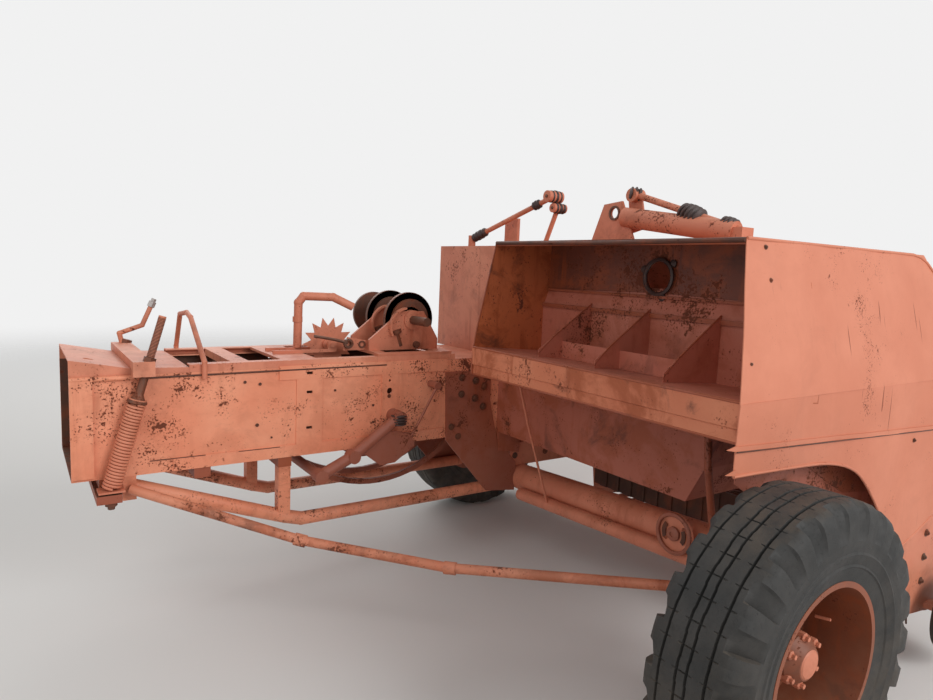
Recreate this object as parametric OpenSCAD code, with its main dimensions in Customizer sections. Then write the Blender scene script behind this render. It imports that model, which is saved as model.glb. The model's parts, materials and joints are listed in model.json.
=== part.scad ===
// Towed in-line square baler, standing on its two wheels and its parking jack.
// X points forward, Y to the left and Z up, in millimetres.
// Shapes are drawn with X = 0 a little ahead of the wheels and Y = 0 at the chamber's right side,
// and seated() moves them so that the origin is under the middle of the whole machine.

/* [Bale chamber] */
// Inside width of the bale chamber
bale_w = 500; // [400:10:600]
// Inside height of the bale chamber
bale_h = 360; // [300:10:420]
// Thickness of the chamber's side and floor plates
chamber_t = 5; // [4:0.5:8]
// Height of the chamber floor's underside above the ground
chamber_z = 640; // [600:5:700]
// Length of the chamber behind the axle
chamber_rear = 1630; // [1500:10:1800]
// Length of the chamber ahead of the axle
chamber_front = 1180; // [1150:10:1250]

/* [Wheels] */
// Outside diameter of the main tyres
tyre_d = 900; // [840:5:900]
// Width of the main tyres
tyre_w = 256; // [230:2:260]
// Diameter of the main rims over their flanges
rim_d = 490; // [440:5:500]
// Outer face of the right tyre, measured from the chamber's right side
right_reach = 1848; // [1820:2:1880]
// Place of the right wheel's axis along the machine
wheel_x = -85; // [-100:5:-60]
// Place of the left wheel's axis along the machine
left_wheel_x = 600; // [560:10:640]
// Notches round each tyre shoulder
notch_n = 24; // [16:1:32]
// Gap between the chamber's left side and the left tyre
left_gap = 100; // [95:5:140]
// Diameter of the wheel spindles
spindle_d = 60; // [40:2:70]
// Diameter of the axle beam
beam_d = 132; // [100:2:150]
// Place of the axle beam along the machine
beam_x = 385; // [380:5:400]

/* [Housings] */
// Height of the housing roof
roof_z = 1556; // [1500:2:1600]
// Thickness of the sheet-metal covers
sheet_t = 3; // [2:0.5:4]
// Place of the wall between the twine box and the feeder
wall_x = 200; // [190:2:220]
// Depth of the twine box behind that wall, at its rim
rim_depth = 300; // [260:10:340]
// Depth of the twine box behind that wall, at its lip
lip_depth = 400; // [360:10:420]
// Height of the lip's top edge
lip_z = 1118; // [1100:2:1140]
// Place of the side panel's lower half, from the chamber's right side
panel_y = 1600; // [1590:2:1620]
// How far the side panel leans inwards at its top
panel_lean = 100; // [60:5:120]
// Height of the fold in the side panel
fold_z = 1115; // [1110:1:1120]

/* [Pickup] */
// Radius of the circle that the tine tips run on
tine_r = 290; // [270:2:292]
// Radius of the stripper bands
band_r = 190; // [180:2:200]
// Number of stripper bands
band_n = 17; // [11:1:19]
// Height of the reel's axis when the pickup is parked
reel_z = 400; // [395:1:420]
// Distance of the reel's axis ahead of the main wheels' axis
reel_x = 1180; // [1170:2:1200]

/* [Drive and drawbar] */
// Diameter of the flywheel
flywheel_d = 580; // [500:10:590]
// Height of the flywheel's shaft
shaft_z = 830; // [825:1:840]
// Length of the drawbar from its pivot to the hitch hole
drawbar_len = 1630; // [1500:10:1800]
// Height of the drawbar's section
drawbar_h = 90; // [70:2:92]
// Width of the drawbar's section
drawbar_w = 100; // [80:2:110]
// Diameter of the hitch hole
hitch_d = 32; // [25:1:36]

/* [Hidden] */
$fn = 40;

paint = [0.78, 0.45, 0.34];
faded = [0.84, 0.53, 0.41];
rust = [0.55, 0.27, 0.15];
steel = [0.42, 0.40, 0.38];
rubber = [0.16, 0.16, 0.17];

// Chamber's outside
chamber_w = bale_w + 2 * chamber_t;
chamber_top = chamber_z + bale_h + 2 * chamber_t;
mid_y = chamber_w / 2;

// Clearance between flat or curved faces of pieces that seat on each other
seat = 0.3;
// Radial clearance of a turning or sliding fit
run = 0.1;

wheel_z = tyre_d / 2;
right_wheel_y = -right_reach + tyre_w / 2;
left_wheel_y = chamber_w + left_gap + tyre_w / 2;

// Axle beam: level under the chamber, rising to the right of it
beam_z = 380;
beam_rise = 88;
beam_end_y = -right_reach + tyre_w + 155;
beam_left_y = chamber_w + 8;

pivot = [2330, mid_y, 0];
front_x = pivot[0] + drawbar_len + 45;
origin_x = (front_x - chamber_rear) / 2;
origin_y = (chamber_w + left_gap + tyre_w - right_reach) / 2;

module seated() {
    translate([-origin_x, -origin_y, 0]) children();
}

// Box between two opposite corners
module slab(a, b) {
    translate(a) cube(b - a);
}

// Round bar between two points
module bar(a, b, d) {
    v = b - a;
    translate(a)
        rotate([0, acos(v[2] / norm(v)), atan2(v[1], v[0])])
            cylinder(h = norm(v), d = d);
}

// Angle by which a route turns at point i, and how far a bar stops short of a mild turn
function unit(v) = v / norm(v);
function turn(points, i) = acos(min(1, unit(points[i] - points[i - 1]) * unit(points[i + 1] - points[i])));
function short(points, i, d) =
    i == 0 || i == len(points) - 1 || turn(points, i) > 40 ? 0 : d / 2 * tan(turn(points, i) / 2) + 0.5;

// Round bar along several points, with ball corners a little proud of the bar
module bent_bar(points, d, proud = 1) {
    for (i = [0 : len(points) - 2]) {
        u = unit(points[i + 1] - points[i]);
        bar(points[i] + short(points, i, d) * u, points[i + 1] - short(points, i + 1, d) * u, d);
    }
    for (i = [1 : len(points) - 2]) {
        translate(points[i]) sphere(d = 2 * norm([d / 2, short(points, i, d)]) + proud);
    }
}

// Plate drawn in X and Z, reaching from y to y + t
module plate_y(points, y, t) {
    translate([0, y + t, 0]) rotate([90, 0, 0]) linear_extrude(t) polygon(points);
}

// Plate drawn in Y and Z, reaching from x to x + t
module plate_x(points, x, t) {
    translate([x, 0, 0]) rotate([90, 0, 90]) linear_extrude(t) polygon(points);
}

// Plate drawn in X and Y, reaching from z to z + t
module plate_z(points, z, t) {
    translate([0, 0, z]) linear_extrude(t) polygon(points);
}

// Hole along Y through whatever is at x, z
module hole_y(x, z, d, y0, y1) {
    translate([x, y1, z]) rotate([90, 0, 0]) cylinder(h = y1 - y0, d = d);
}

// Round disc or tube lying along Y
module round_y(x, z, d, y0, y1) {
    hole_y(x, z, d, y0, y1);
}

// Round disc or tube lying along X
module round_x(y, z, d, x0, x1) {
    translate([x0, y, z]) rotate([0, 90, 0]) cylinder(h = x1 - x0, d = d);
}

// Points of an arc in the plane
function arc(c, r, a0, a1, n) =
    [for (i = [0 : n]) c + r * [cos(a0 + (a1 - a0) * i / n), sin(a0 + (a1 - a0) * i / n)]];

// Repeats a shape on the chamber's other side
module both_sides() {
    children();
    translate([0, chamber_w, 0]) mirror([0, 1, 0]) children();
}

// Chamber side with its stiffening strips, drawn for the right side
strip_t = 4;
flange_z = 961;
band_top = 689;
// Strips that cover the side's joints: rear edge, front edge
strips = [[-828, -716], [-441, -361]];
feed_x0 = 210;
feed_x1 = 760;
feed_z1 = 990;

module chamber_side() {
    difference() {
        union() {
            slab([-chamber_rear, 0, chamber_z], [chamber_front, chamber_t, chamber_top]);
            slab([-chamber_rear, -12, chamber_z + 10], [-chamber_rear + 70, 0, chamber_top - 12]);
            translate([-chamber_rear, -5, chamber_top - 7])
                rotate([0, 90, 0]) cylinder(h = 245, d = 18);
            slab([-900, -strip_t - 1, flange_z], [-100, 0, chamber_top + 8]);
            slab([-1300, -strip_t, chamber_z], [-112, 0, band_top]);
            for (s = strips) {
                slab([s[0], -strip_t, band_top], [s[1], 0, flange_z]);
            }
        }
        for (z = [755, 905, 985]) {
            slab([-785, -9, z - 6], [-759, chamber_t + 1, z + 6]);
        }
        hole_y(-401, 932, 12, -9, chamber_t + 1);
        hole_y(-401, 885, 28, -9, chamber_t + 1);
    }
}

module chamber_right_side() {
    color(faded) seated() difference() {
        chamber_side();
        slab([feed_x0, -1, chamber_z + chamber_t + 1], [feed_x1, chamber_t + 1, feed_z1]);
    }
}

module chamber_left_side() {
    color(paint) seated() translate([0, chamber_w, 0]) mirror([0, 1, 0]) chamber_side();
}

needle_y = [mid_y - 95, mid_y + 95];
// Cross members under the floor: rear edge, front edge
floor_ribs = [[-1545, -1485], [-1225, -1165], [-900, -845], [-560, -500]];

module chamber_floor() {
    color(rust) seated() {
        difference() {
            slab([-chamber_rear, chamber_t, chamber_z],
                 [chamber_front, chamber_w - chamber_t, chamber_z + chamber_t]);
            for (y = needle_y) {
                slab([-70, y - 14, chamber_z - 1], [330, y + 14, chamber_z + chamber_t + 1]);
            }
        }
        for (r = floor_ribs) {
            slab([r[0], 0, chamber_z - 40], [r[1], chamber_w, chamber_z]);
        }
        slab([-1560, -72, chamber_z - 70], [-1480, chamber_w + 72, chamber_z - 40]);
    }
}

rail_h = 30;
rail_w = 44;
rail_rear = -1240;
module chamber_top_rails() {
    color(faded) seated() {
        both_sides() difference() {
            slab([rail_rear, 0, chamber_top], [-60, rail_w, chamber_top + rail_h]);
            slab([rail_rear - 1, 5, chamber_top + 5], [-61, rail_w + 1, chamber_top + rail_h - 5]);
        }
        slab([-1080, rail_w, chamber_top], [-1010, chamber_w - rail_w, chamber_top + rail_h]);
        slab([-880, rail_w, chamber_top + rail_h - 12],
             [-730, chamber_w - rail_w, chamber_top + rail_h]);
        slab([-60, 0, chamber_top], [chamber_front, chamber_w, chamber_top + 5]);
    }
}

// Top tension plate, a shallow channel that rises to the rear
plate_rear_z = chamber_top + 61;
plate_mid_z = chamber_top + 26;
plate_front = rail_rear - seat;
plate_mid = -1445;
module density_plate() {
    color(faded) seated() {
        top = [[-chamber_rear, plate_rear_z], [plate_mid, plate_mid_z], [plate_front, plate_mid_z - 6]];
        under = [[plate_front, plate_mid_z - 11], [plate_mid, plate_mid_z - 5],
                 [-chamber_rear, plate_rear_z - 5]];
        both_sides() {
            plate_y(concat(top, [[plate_front, chamber_top + seat], [-chamber_rear, chamber_top + seat]]), 1, 5);
        }
        difference() {
            plate_y(concat(top, under), 6, chamber_w - 12);
            translate([-1560, mid_y - 130, plate_mid_z - 20]) cylinder(h = 100, d = 34);
        }
    }
}

// Crossbeam that the tension screws pull down, with its screws and crank
screw_y = -38;
screw_d = 26;
cross_x0 = -1438;
cross_x1 = -1366;
cross_z = plate_mid_z + 1;
cross_h = 28;
spring_foot = [-1512, screw_y, chamber_z - 26.5];
screw_tip = [-1336, screw_y, 1225];
spring_top = spring_foot + 0.498 * (screw_tip - spring_foot);
crank_root = spring_foot + 0.69 * (screw_tip - spring_foot);
module density_screw(end) {
    u = unit(screw_tip - spring_foot);
    bar(spring_top, spring_top + 12 * u, coil_d - 4);
    bar(spring_top, end, screw_d);
}

module density_crossbeam() {
    left_y = chamber_w - screw_y;
    color(faded) seated() {
        difference() {
            union() {
                slab([cross_x0, -62, cross_z], [cross_x1, chamber_w + 62, cross_z + cross_h]);
                both_sides() {
                    slab([cross_x0, -62, cross_z - 26], [cross_x1, -16, cross_z + cross_h]);
                }
            }
            slab([cross_x0 + 6, -14, cross_z - 1], [cross_x1 - 6, chamber_w + 14, cross_z + cross_h - 6]);
        }
        density_screw(screw_tip);
        translate([0, chamber_w, 0]) mirror([0, 1, 0]) density_screw(crank_root);
        bent_bar([[crank_root[0], left_y, crank_root[2] - 8], [-1408, left_y, 1105], [-1319, left_y, 1138],
                  [-1278, left_y, 1233]], 20);
    }
}

// Tension springs, close wound round the screws' lower ends
coil_d = 64;
wire_d = 10;
spring_v = spring_top - spring_foot;
coil_n = floor(norm(spring_v) / (wire_d + 1));
module density_spring() {
    step = norm(spring_v) / coil_n;
    translate(spring_foot)
        rotate([0, acos(spring_v[2] / norm(spring_v)), 0])
            rotate_extrude() union() {
                for (i = [0 : coil_n - 1]) {
                    translate([coil_d / 2 - wire_d / 2, (i + 0.5) * step]) circle(d = wire_d, $fn = 6);
                }
                translate([coil_d / 2 - wire_d + 2, 0]) square([wire_d - 5, norm(spring_v) - seat]);
            }
}

module density_springs() {
    color(faded) seated() {
        both_sides() density_spring();
    }
}

hoop_x = -1188;
hoop_d = 20;
module bale_hoop() {
    color(paint) seated() {
        side = hoop_d / 2 + seat;
        knee = chamber_top + rail_h + 8;
        bent_bar([[hoop_x, -side, chamber_top - 25], [hoop_x, -side, knee], [hoop_x, 225, 1198],
                  [hoop_x, 300, 1212], [hoop_x, 430, 1196], [hoop_x, chamber_w + side, knee],
                  [hoop_x, chamber_w + side, chamber_top - 25]], hoop_d);
    }
}

// Bent tubes under the chamber, one on each side, with their posts
brace_d = 56;
brace_y = brace_d / 2 + seat;
brace_z = 353;
module lower_braces() {
    color(paint) seated() {
        both_sides() {
            bent_bar([[-1440, brace_y, chamber_z - 45], [-860, brace_y, brace_z + 24],
                      [-790, brace_y, brace_z + 3], [beam_x - beam_d / 2 - seat, brace_y, brace_z]], brace_d);
            slab([-897, 4, brace_z + 38], [-847, brace_d - 4, chamber_z - 40 - seat]);
            slab([-1470, 2, chamber_z - 90], [-1425, brace_d + 2, chamber_z - seat]);
        }
    }
}

// Thin diagonal brace from the chamber's rear to the right end of the axle
diag_d = 36;
diag_points = [[-1448, 2 - diag_d / 2 - seat, chamber_z - 42], [-911, -291, 400], [-484, -673, 350],
    [150, beam_end_y - 12 + 0.33 * diag_d, 440]];
module diagonal_brace() {
    color(rust) seated() {
        for (i = [0 : len(diag_points) - 2]) {
            u = unit(diag_points[i + 1] - diag_points[i]);
            bar(diag_points[i] + short(diag_points, i, diag_d) * u,
                diag_points[i + 1] - short(diag_points, i + 1, diag_d) * u, diag_d);
        }
        // Sleeves over the bends
        for (i = [1 : len(diag_points) - 2]) {
            u = unit(diag_points[i + 1] - diag_points[i - 1]);
            bar(diag_points[i] - 22 * u, diag_points[i] + 22 * u, diag_d + 10);
        }
    }
}

gusset_t = 8;
gusset_points = [[-111, 954], [-97, 626], [152, 343], [330, 320], [330, 470], [205, 600], [150, 800], [150, 954]];
module gusset_plates() {
    color(paint) seated() {
        both_sides() difference() {
            plate_y(gusset_points, -gusset_t, gusset_t);
            hole_y(beam_x, beam_z, beam_d + 2 * seat, -30, 30);
        }
    }
}

beam_end = [beam_x, beam_end_y, beam_z + beam_rise];
// Dished disc on the beam's rear side
disc_x = 260;
disc_y = -1065;
disc_z = 480;
disc_d = 160;
module axle_beam() {
    color(paint) seated() {
        bent_bar([[beam_x, beam_left_y, beam_z], [beam_x, -14, beam_z], beam_end], beam_d);
        round_x(disc_y, disc_z, 60, disc_x + 8, beam_x);
        difference() {
            round_x(disc_y, disc_z, disc_d, disc_x, disc_x + 12);
            difference() {
                round_x(disc_y, disc_z, disc_d - 22, disc_x - 1, disc_x + 5);
                round_x(disc_y, disc_z, 44, disc_x - 2, disc_x + 6);
            }
            for (a = [-30, 150]) {
                round_x(disc_y + 48 * cos(a), disc_z + 48 * sin(a), 24, disc_x - 1, disc_x + 13);
            }
        }
    }
}

// Arms that carry the wheel spindles behind the beam's ends
arm_t = 46;
spindle_over = 30;
module wheel_arm(x, z_beam, reach) {
    difference() {
        union() {
            round_y(x, wheel_z, 170, -arm_t, 0);
            round_y(beam_x, z_beam, 190, -arm_t, 0);
            plate_y([[x, wheel_z - 70], [beam_x, z_beam - 80], [beam_x, z_beam + 80], [x, wheel_z + 70]],
                    -arm_t, arm_t);
        }
        hole_y((beam_x + x) / 2, (wheel_z + z_beam) / 2, 60, -arm_t - 1, 1);
    }
    round_y(x, wheel_z, spindle_d, -reach, 0);
}

module axle_arms() {
    color(paint) seated() {
        right = beam_end_y - 12;
        left = beam_left_y + seat;
        translate([0, right, 0]) wheel_arm(wheel_x, beam_z + beam_rise, right - right_wheel_y + spindle_over);
        translate([0, left, 0]) mirror([0, 1, 0]) wheel_arm(left_wheel_x, beam_z, left_wheel_y - left + spindle_over);
    }
}

// Pipe clamped under the beam, with the thin control rod and the dished disc
lift_d = 60;
function beam_at(y) = beam_z + beam_rise * (-14 - y) / (-14 - beam_end_y);
lift_x = beam_x - 78;
lift_drop = 57;
module lift_pipe() {
    color(paint) seated() {
        bar([lift_x, -90, beam_at(-90) - lift_drop],
            [lift_x, beam_end_y + 70, beam_at(beam_end_y + 70) - lift_drop], lift_d);
        bent_bar([[lift_x - 20, -316, beam_at(-316) - lift_drop + 10], [100, -370, 761],
                  [-20, -388, floor_at(-20) - 8]], 11);
    }
}

// Two channel rails that carry the chamber ahead of the axle
rail_z0 = beam_z + beam_d / 2 + seat;
rail_z1 = rail_z0 + 120;
frame_rail_w = 60;
frame_end_x = 2050;
// Cross members between the rails and the chamber floor: rear edge, front edge
frame_ribs = [[420, 480], [960, 1020]];
module frame_rails() {
    color(paint) seated() {
        both_sides() difference() {
            slab([300, 0, rail_z0], [frame_end_x, frame_rail_w, rail_z1]);
            slab([299, 8, rail_z0 + 8], [frame_end_x + 1, frame_rail_w + 1, rail_z1 - 8]);
        }
        for (r = frame_ribs) {
            slab([r[0], 0, rail_z1], [r[1], chamber_w, chamber_z - seat]);
        }
        slab([1450, frame_rail_w, rail_z1 - 60], [1750, chamber_w - frame_rail_w, rail_z1 + 2]);
        slab([1450, 0, rail_z1], [1750, chamber_w, rail_z1 + 2]);
    }
}

// Cross member at the front, with the fork that holds the drawbar's pivot pin
fork_t = 14;
fork_gap = 5;
drawbar_z = 450;
fork_z0 = drawbar_z - drawbar_h / 2 - fork_gap - fork_t;
fork_z1 = drawbar_z + drawbar_h / 2 + fork_gap;
pivot_d = 40;
fork_outline = [[2130, 30], [2130, chamber_w - 30], [pivot[0] - 20, mid_y + 60], [pivot[0] + 50, mid_y + 45],
                [pivot[0] + 50, mid_y - 45], [pivot[0] - 20, mid_y - 60]];
module front_frame() {
    color(paint) seated() {
        slab([frame_end_x, -10, fork_z0], [2130, chamber_w + 10, fork_z1 + fork_t]);
        plate_z(fork_outline, fork_z0, fork_t);
        plate_z(fork_outline, fork_z1, fork_t);
        translate([pivot[0], pivot[1], fork_z0 - 12]) cylinder(h = fork_z1 + 2 * fork_t - fork_z0 + 20, d = pivot_d);
    }
}

// Cover round the crank, between the chamber and the flywheel
crank_x = 1605;
crank_r = 425;
module crank_outline(r) {
    intersection() {
        union() {
            translate([crank_x, shaft_z]) circle(r = r, $fn = 64);
            translate([chamber_front - crank_r + r, chamber_z - crank_r + r])
                square([crank_x - chamber_front, chamber_top - chamber_z + 2 * (r - crank_r)]);
        }
        translate([chamber_front + crank_r - r, rail_z1 + 2 + crank_r - r]) square([1000, 1000]);
    }
}

module crank_housing() {
    color(paint) seated() difference() {
        translate([0, chamber_w, 0]) rotate([90, 0, 0]) linear_extrude(chamber_w) crank_outline(crank_r);
        translate([0, chamber_w - sheet_t, 0]) rotate([90, 0, 0])
            linear_extrude(chamber_w - 2 * sheet_t) crank_outline(crank_r - sheet_t);
        slab([chamber_front - 10, chamber_t, chamber_z + chamber_t],
             [chamber_front + 20, chamber_w - chamber_t, chamber_top - chamber_t]);
        slab([1440, 40, rail_z1 - 1], [1760, chamber_w - 40, rail_z1 + 10]);
        round_x(mid_y, shaft_z, 150, crank_x + 200, crank_x + 500);
    }
}

gear_neck_x = 2092;
fly_shaft_d = 50;
module gearbox() {
    color(steel) seated() {
        slab([1450, 110, rail_z1 + 2 + seat], [1750, chamber_w - 110, shaft_z - 120]);
        slab([1430, 120, shaft_z - 120], [1770, chamber_w - 120, shaft_z + 130]);
        for (i = [0 : 3]) {
            y = mid_y - 110 + 70 * i;
            slab([1422, y, shaft_z - 112], [1778, y + 10, shaft_z + 136]);
        }
        round_x(mid_y, shaft_z, 230, 1768, 1784);
        round_x(mid_y, shaft_z, 140, 1760, gear_neck_x);
        round_x(mid_y, shaft_z, fly_shaft_d, gear_neck_x - 5, gear_neck_x + 92);
    }
}

module flywheel() {
    r = flywheel_d / 2;
    color(steel) seated()
        translate([gear_neck_x + 10, mid_y, shaft_z]) rotate([0, 90, 0]) difference() {
            rotate_extrude($fn = 64) polygon([[fly_shaft_d / 2 + run, 0], [60, 0], [60, 22], [r - 48, 22], [r - 48, 0], [r, 0], [r, 62],
                     [r - 48, 62], [r - 48, 40], [60, 40], [60, 82], [fly_shaft_d / 2 + run, 82]]);
            for (k = [0 : 4]) {
                rotate([0, 0, 72 * k]) translate([r / 2 + 6, 0, 10]) cylinder(h = 40, d = r / 3);
            }
        }
}

// Feeder: the trough that the packers sweep, open to the front and into the chamber
feeder_front = 800;
feeder_end = -1215;
feeder_roof = 1000;
feeder_floor = chamber_z + chamber_t;
feeder_outline = [[-seat, feeder_floor - 4], [-1145, feeder_floor - 4], [feeder_end, 780], [feeder_end - 20, feeder_roof + 4],
                  [-seat, feeder_roof + 4]];
feeder_inside = [[1, feeder_floor], [-1143, feeder_floor], [feeder_end + 4, 781], [feeder_end - 16, feeder_roof],
                 [1, feeder_roof]];
module feeder_housing() {
    color(paint) seated() {
        difference() {
            plate_x(feeder_outline, wall_x + sheet_t + seat, feeder_front - wall_x - sheet_t - seat);
            plate_x(feeder_inside, wall_x + 8, feeder_front);
            for (y = [-300, -620, -940]) {
                slab([330, y - 20, feeder_roof - 1], [700, y + 20, feeder_roof + 5]);
            }
        }
        plate_x([[-14, feeder_roof + 3], [feeder_end - 20, feeder_roof + 3], [feeder_end - 20, ledge_z + 30],
                 [-14, ledge_z + 30]], wall_x + sheet_t + seat, 4);
        for (y = [-150, -1050]) {
            difference() {
                union() {
                    round_y(pick_hinge[0], pick_hinge[1], hinge_d + 20, y, y + 10);
                    plate_y([[680, feeder_floor - 4], [800, feeder_floor - 4], [pick_hinge[0] + 30, pick_hinge[1] + 34],
                             [pick_hinge[0] - 34, pick_hinge[1] - 30]], y, 10);
                }
                hole_y(pick_hinge[0], pick_hinge[1], hinge_d + 2 * run, y - 1, y + 11);
            }
        }
    }
}

// Inner guard beside the right wheel and the stay that hangs from the box
module wheel_guard() {
    color(rust) seated() {
        plate_y([[-60, 1082], [-60, 930], [230, 900], [560, 730], [feeder_front, 700], [feeder_front, 1082]],
                -1510, 4);
        slab([wall_x + sheet_t + seat, -1506, 1050], [wall_x + 8, feeder_end - 20 - seat, 1082]);
        bent_bar([[140, -1246, floor_at(140) - 8], [140, -1274, 801],
                  [lift_x, -1215, beam_at(-1215) - lift_drop + lift_d / 2 + 4]], 26);
    }
}

// Side panel: an upper half that leans inwards and a lower half with the wheel arch
lean_angle = atan2(panel_lean, roof_z - fold_z);
lean_len = norm([panel_lean, roof_z - fold_z]);
rim_x = wall_x - rim_depth;
lip_x = wall_x - lip_depth;
panel_front = 1260;
// Everything outside the side panel's inner face
module beyond_panel() {
    y = -panel_y + seat;
    plate_x([[-panel_y - 900, 0], [y, 0], [y, fold_z], [y + panel_lean, roof_z], [y + panel_lean, 2000],
             [-panel_y - 900, 2000]], -2000, 5000);
}
// Wheel arch and lower edge: place along the machine, height over the tyre's top
arch = [[-248, 25], [109, 6], [211, 2], [321, -13], [405, -37], [500, -91], [595, -179], [667, -263],
        [813, -383], [848, -380], [1055, -312]];
arch_points = [for (p = arch) [p[0], tyre_d + p[1]]];
module side_panel() {
    color(faded) seated() {
        translate([0, -panel_y, fold_z]) rotate([-lean_angle, 0, 0])
            plate_y([[lip_x - 12, -2], [rim_x, lean_len], [980, lean_len], [1190, 250], [panel_front, -2]],
                    -sheet_t, sheet_t);
        plate_y(concat([[lip_x - 12, fold_z]], arch_points, [[panel_front, 850], [panel_front, fold_z]]),
                -panel_y - sheet_t, sheet_t);
        slab([lip_x - 40, -panel_y - 2 * sheet_t, 955], [panel_front, -panel_y - sheet_t, 973]);
    }
}

// Twine box, open to the rear, with its lip and stepped back wall
box_left = -346;
box_floor = 1085;
step_z = 1290;
ledge_z = 1365;
step_depth = 30;
ring_hole = [-959, 1437];
module twine_box() {
    right = -panel_y;
    back_x = wall_x - step_depth;
    t = sheet_t;
    section = [[lip_x + 6, 1004], [lip_x + 6, 1042], [lip_x, 1046], [lip_x, lip_z], [back_x, floor_at(back_x)],
               [back_x, step_z], [wall_x, ledge_z], [wall_x, roof_z - t], [rim_x + t, roof_z - t],
               [rim_x + t, roof_z - 18], [rim_x, roof_z - 18], [rim_x, roof_z], [wall_x + t, roof_z],
               [wall_x + t, ledge_z], [back_x + t, step_z], [back_x + t, floor_at(back_x) - 4],
               [lip_x + t, lip_z - 4], [lip_x + t, 1047], [lip_x + 6 + t, 1043], [lip_x + 6 + t, 1004]];
    color(rust) seated() difference() {
        union() {
            plate_y(section, right, box_left + 1 - right);
            plate_y([[wall_x + t, roof_z], [rim_x, roof_z], [lip_x, lip_z], [lip_x, 1004], [lip_x + 40, 1004],
                     [wall_x + t, box_floor - 30]], box_left, t);
        }
        round_x(ring_hole[0], ring_hole[1], 120, wall_x - 20, wall_x + 20);
        beyond_panel();
    }
}

// Compartments for the twine balls
partition_y = [-650, -955, -1255];
front_plate_x = 20;
function floor_at(x) = box_floor + 4 + (lip_z - 4 - box_floor) * (wall_x - x) / lip_depth;
module twine_partitions() {
    color(paint) seated() {
        for (y = partition_y) {
            plate_y([[wall_x - step_depth - 1, floor_at(wall_x) + 3], [wall_x - step_depth - 1, step_z + 30],
                     [-100, 1140], [-100, floor_at(-100) + seat]], y, sheet_t);
        }
        for (i = [0 : len(partition_y) - 2]) {
            slab([front_plate_x, partition_y[i + 1] + sheet_t, floor_at(front_plate_x) + 1],
                 [front_plate_x + sheet_t, partition_y[i], 1170]);
        }
    }
}

// Roof over the feeder and chamber, with the rear wall left of the twine box
cover_left = 583;
module top_cover() {
    right = -panel_y;
    color(paint) seated() difference() {
        union() {
        slab([wall_x + sheet_t + seat, right, roof_z - sheet_t], [980, cover_left, roof_z]);
        slab([wall_x, box_left + sheet_t + seat, chamber_top + 5 + seat], [wall_x + sheet_t, cover_left, roof_z]);
        plate_y([[wall_x, chamber_top + 5], [wall_x, roof_z], [980, roof_z], [1192, 1362], [panel_front, fold_z],
                 [1150, chamber_top + 5]], cover_left - sheet_t, sheet_t);
        slab([wall_x, chamber_w, chamber_top + 5], [1150, cover_left, chamber_top + 8]);
        plate_y([[980, roof_z - sheet_t], [980, roof_z], [1192, 1362], [panel_front, fold_z],
                 [panel_front - sheet_t, fold_z], [1189, 1361]], right, cover_left - right);
        }
        beyond_panel();
    }
}

// Packer linkages on the roof
link_x = 450;
module packer_linkage_left() {
    color(paint) seated() {
        slab([link_x - 8, 215, roof_z + seat], [link_x + 8, 325, 1712]);
        bar([350, 501, 1603], [link_x, -46, 1808], 26);
        bar([350, 501, roof_z + seat], [350, 501, 1622], 40);
        bar([link_x + 30, 40, roof_z + seat + 6], [link_x + 20, -60, 1745], 24);
        round_x(-46, 1808, 56, link_x - 40, link_x + 50);
        round_x(-68, 1752, 44, link_x - 20, link_x + 60);
    }
}

bracket_hole = [-507, 1705];
module packer_linkage_right() {
    color(paint) seated() {
        difference() {
            plate_x([[-360, roof_z + seat], [-440, 1745], [-545, 1755], [-640, roof_z + seat]], link_x - 40, 10);
            round_x(bracket_hole[0], bracket_hole[1], 46, link_x - 50, link_x - 20);
        }
        bar([link_x - 30, -560, 1686], [link_x, -1085, 1612], 84);
        plate_x([[-560, 1620], [-530, 1790], [-600, 1800], [-640, 1640]], link_x + 10, 10);
        bar([link_x + 5, -565, 1788], [link_x + 5, -1100, 1622], 28);
        round_x(-575, 1780, 58, link_x - 20, link_x + 40);
        slab([link_x - 30, -1130, roof_z + seat], [link_x + 40, -1070, 1630]);
    }
}

// Knotters on top of the chamber
knot_x = -230;
knot_z = 1190;
knot_base = chamber_top + rail_h + seat;
module knotter_frames() {
    color(paint) seated() {
        for (y = needle_y) {
            difference() {
                union() {
                    plate_y([[-450, knot_base + 11], [-450, knot_base + 60], [knot_x - 60, knot_z + 40],
                             [knot_x + 60, knot_z + 40], [-90, knot_base + 60], [-90, knot_base + 11]], y - 45, 14);
                    round_y(knot_x, knot_z, 90, y - 52, y - 20);
                }
                hole_y(knot_x, knot_z, 40 + 2 * run, y - 60, y + 60);
            }
        }
        both_sides() slab([-460, 0, knot_base], [-80, rail_w, knot_base + 12]);
        slab([-455, rail_w, knot_base], [-400, chamber_w - rail_w, knot_base + 12]);
        slab([-140, rail_w, knot_base], [-80, chamber_w - rail_w, knot_base + 12]);
    }
}

module knotter_shaft() {
    color(steel) seated() {
        round_y(knot_x, knot_z, 40, -20, chamber_w + 40);
        for (y = needle_y) {
            round_y(knot_x, knot_z, 250, y - 12, y + 4);
        }
        round_y(knot_x, knot_z, 220, chamber_w + 14, chamber_w + 30);
    }
}

// Star wheel that measures the bale's length
star_x = -590;
star_z = chamber_top + 62;
star_r = 120;
star_n = 14;
star_t = 6;
module metering_wheel() {
    color(paint) seated() {
        translate([star_x, mid_y + star_t / 2, star_z]) rotate([90, 0, 0]) difference() {
            union() {
                linear_extrude(star_t) polygon([for (i = [0 : 2 * star_n - 1])
                    (i % 2 == 0 ? star_r : star_r * 0.68) * [cos(180 * i / star_n), sin(180 * i / star_n)]]);
                translate([0, 0, -15]) cylinder(h = star_t + 30, d = 56);
            }
            translate([0, 0, -20]) cylinder(h = star_t + 40, d = 24 + 2 * run);
        }
    }
}

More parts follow.
